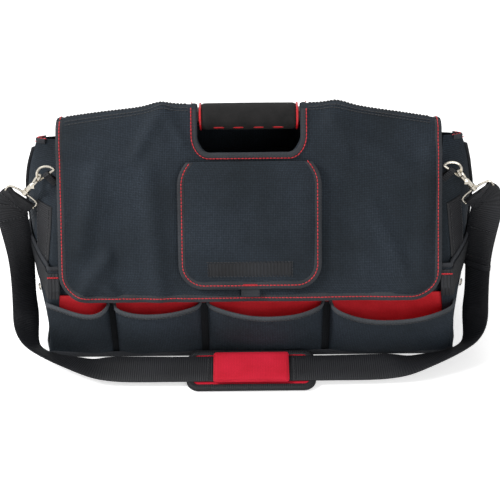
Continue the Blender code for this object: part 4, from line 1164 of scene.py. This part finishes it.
def make_pad():
    gap = STRAP_THICK / 2 + 0.0005
    base = cushion("pad_cushion", 0.158, 0.056, -gap - 0.005, -gap, 0.012, 0.0)
    settle(base, "pad", "binding", "pad_base")
    top = cushion("pad_mesh_top", 0.094, 0.045, gap + 0.0004, gap + 0.0034, 0.0032, 0.0012)
    settle(top, "pad", "pad_cloth", "pad_cover")
    loop = []
    radius = 0.011
    for quarter, way_x, way_y in ((0, 1, 1), (1, -1, 1), (2, -1, -1), (3, 1, -1)):
        for turn in spread(9, quarter * pi / 2, (quarter + 1) * pi / 2):
            x = way_x * (0.0760 - radius) + radius * cos(turn)
            y = way_y * (0.0252 - radius) + radius * sin(turn)
            side = RIGHT * cos(turn) + PAD_ACROSS * sin(turn)
            loop.append((on_pad(x, y, -gap - 0.0025), side, PAD_OUT))
    tape("pad_binding", loop, 0.0092, 0.0078, WEBBING, "pad", closed=True)
    for number, x in enumerate((-0.0535, 0.0535)):
        line = [(on_pad(x, y, STRAP_SEAM), PAD_OUT) for y in spread(16, -0.0165, 0.0165)]
        stitches(f"pad_strap_stitches_{number + 1}", line, DARK_THREAD, "pad", "webbing")


# The metal parts keep their solids; the webbing loops of the rings are made anew.

RING_TILT = radians(38)
LOOP_DROPS = spread(9, 0.0148, 0.0)


def make_ring_loop(tag, side):
    """The loop round a ring's bar: two plies go down the end from it and are sewn together."""
    centre = Vector((side * 0.2465, -0.0360, 0.2230))
    bar = Vector((side * cos(RING_TILT), 0, -sin(RING_TILT)))
    apex = Vector((side * sin(RING_TILT), 0, cos(RING_TILT)))
    stations = [(centre - apex * gone + BACK * 0.0021, bar, BACK) for gone in LOOP_DROPS]
    stations += round_bar(15, centre, bar, BACK, apex, 0.0030)
    stations += [(centre - apex * gone - BACK * 0.0021, bar, -BACK) for gone in LOOP_DROPS[::-1]]
    tape(f"ring_loop_webbing_{tag}", stations, 0.0085, 0.0018, WEBBING, "bag", "webbing",
         f"ring_loop_{tag}")


def make_metal():
    for tag, side in SIDES:
        make_ring_loop(tag, side)
        for stem in ("d_ring", "snap_hook", "hook_latch", "strap_eye", "rivet"):
            paint(frame["nodes"][f"{stem}_{tag}"], NICKEL)


# Floor, lights and camera

LIGHTS = (("key_light", (-1.6, -0.35, 1.5), 0.8, 40.0), ("fill_light", (0.9, -1.7, 0.9), 1.2, 14.0),
          ("back_light", (0.2, 1.4, 1.6), 1.2, 10.0))
LIGHT_AIM = Vector((0, -0.05, 0.12))
CAMERA_PLACE = (0, -1.175, 0.986)
CAMERA_LENS = 80.7
CAMERA_PITCH = radians(37.75)
CAMERA_ROLL = radians(-0.6)


def place_object(name, data, place, turn):
    holder = add_object(name, data)
    holder.location = place
    holder.rotation_euler = turn.to_euler()
    return holder


def make_floor():
    """A pale floor that glows a little for the camera alone, so that it ends in white."""
    made, tree, shader = start_finish("pale studio floor", 0.9, gloss=0.0)
    ray = add_node(tree, "LightPath", {})["Is Camera Ray"]
    glow = add_node(tree, "Math", {0: ray, 1: 0.55}, operation="MULTIPLY")
    feed(shader, {"Base Color": (0.93, 0.93, 0.93, 1), "Emission Color": (1, 1, 1, 1),
                  "Emission Strength": glow["Value"]})
    build = bmesh.new()
    bmesh.ops.create_grid(build, x_segments=2, y_segments=2, size=12.0)
    floor = finished("studio_floor", build, made)
    floor.location.z = -0.0002


def make_world():
    """White to the camera and in what shines or is clear, and dimmer as a light."""
    world = bpy.data.worlds.new("studio")
    bpy.context.scene.world = world
    world.use_nodes = True
    tree = world.node_tree
    rays = add_node(tree, "LightPath", {})
    seen = rays["Is Camera Ray"]
    for kind in ("Is Glossy Ray", "Is Transmission Ray"):
        seen = add_node(tree, "Math", {0: seen, 1: rays[kind]}, operation="ADD",
                        use_clamp=True)["Value"]
    level = add_node(tree, "MapRange", {"To Min": 0.33, "To Max": 1.0, "Value": seen})
    feed(tree.nodes["Background"], {"Color": (1, 1, 1, 1), "Strength": level["Result"]})


def make_lights_and_camera():
    for name, place, size, power in LIGHTS:
        lamp = bpy.data.lights.new(name, "AREA")
        lamp.size = size
        lamp.energy = power
        place_object(name, lamp, place, (LIGHT_AIM - Vector(place)).to_track_quat("-Z", "Y"))
    data = bpy.data.cameras.new("photo_camera")
    data.lens = CAMERA_LENS
    data.sensor_width = 36
    look = Vector((0, cos(CAMERA_PITCH), -sin(CAMERA_PITCH)))
    turn = look.to_track_quat("-Z", "Y").to_matrix().to_4x4() @ Matrix.Rotation(CAMERA_ROLL, 4, "Z")
    bpy.context.scene.camera = place_object("photo_camera", data, CAMERA_PLACE, turn)
    bpy.context.scene.view_settings.view_transform = "Standard"


make_shell()
make_lining()
for index in range(len(POCKETS)):
    make_front_pocket(index)
make_gussets()
make_base_welt()
for tag, side in SIDES:
    make_end(tag, side)
cutter = make_slot_cutter()
for side, body, _ in COVER_BODIES:
    make_cover_panel(side, body, cutter)
bpy.data.objects.remove(cutter)
make_cover_edges()
make_cover_stitches()
make_rear_seam()
make_accessory_pocket()
make_handle()
make_strap()
make_pad()
make_metal()
make_floor()
make_world()
make_lights_and_camera()
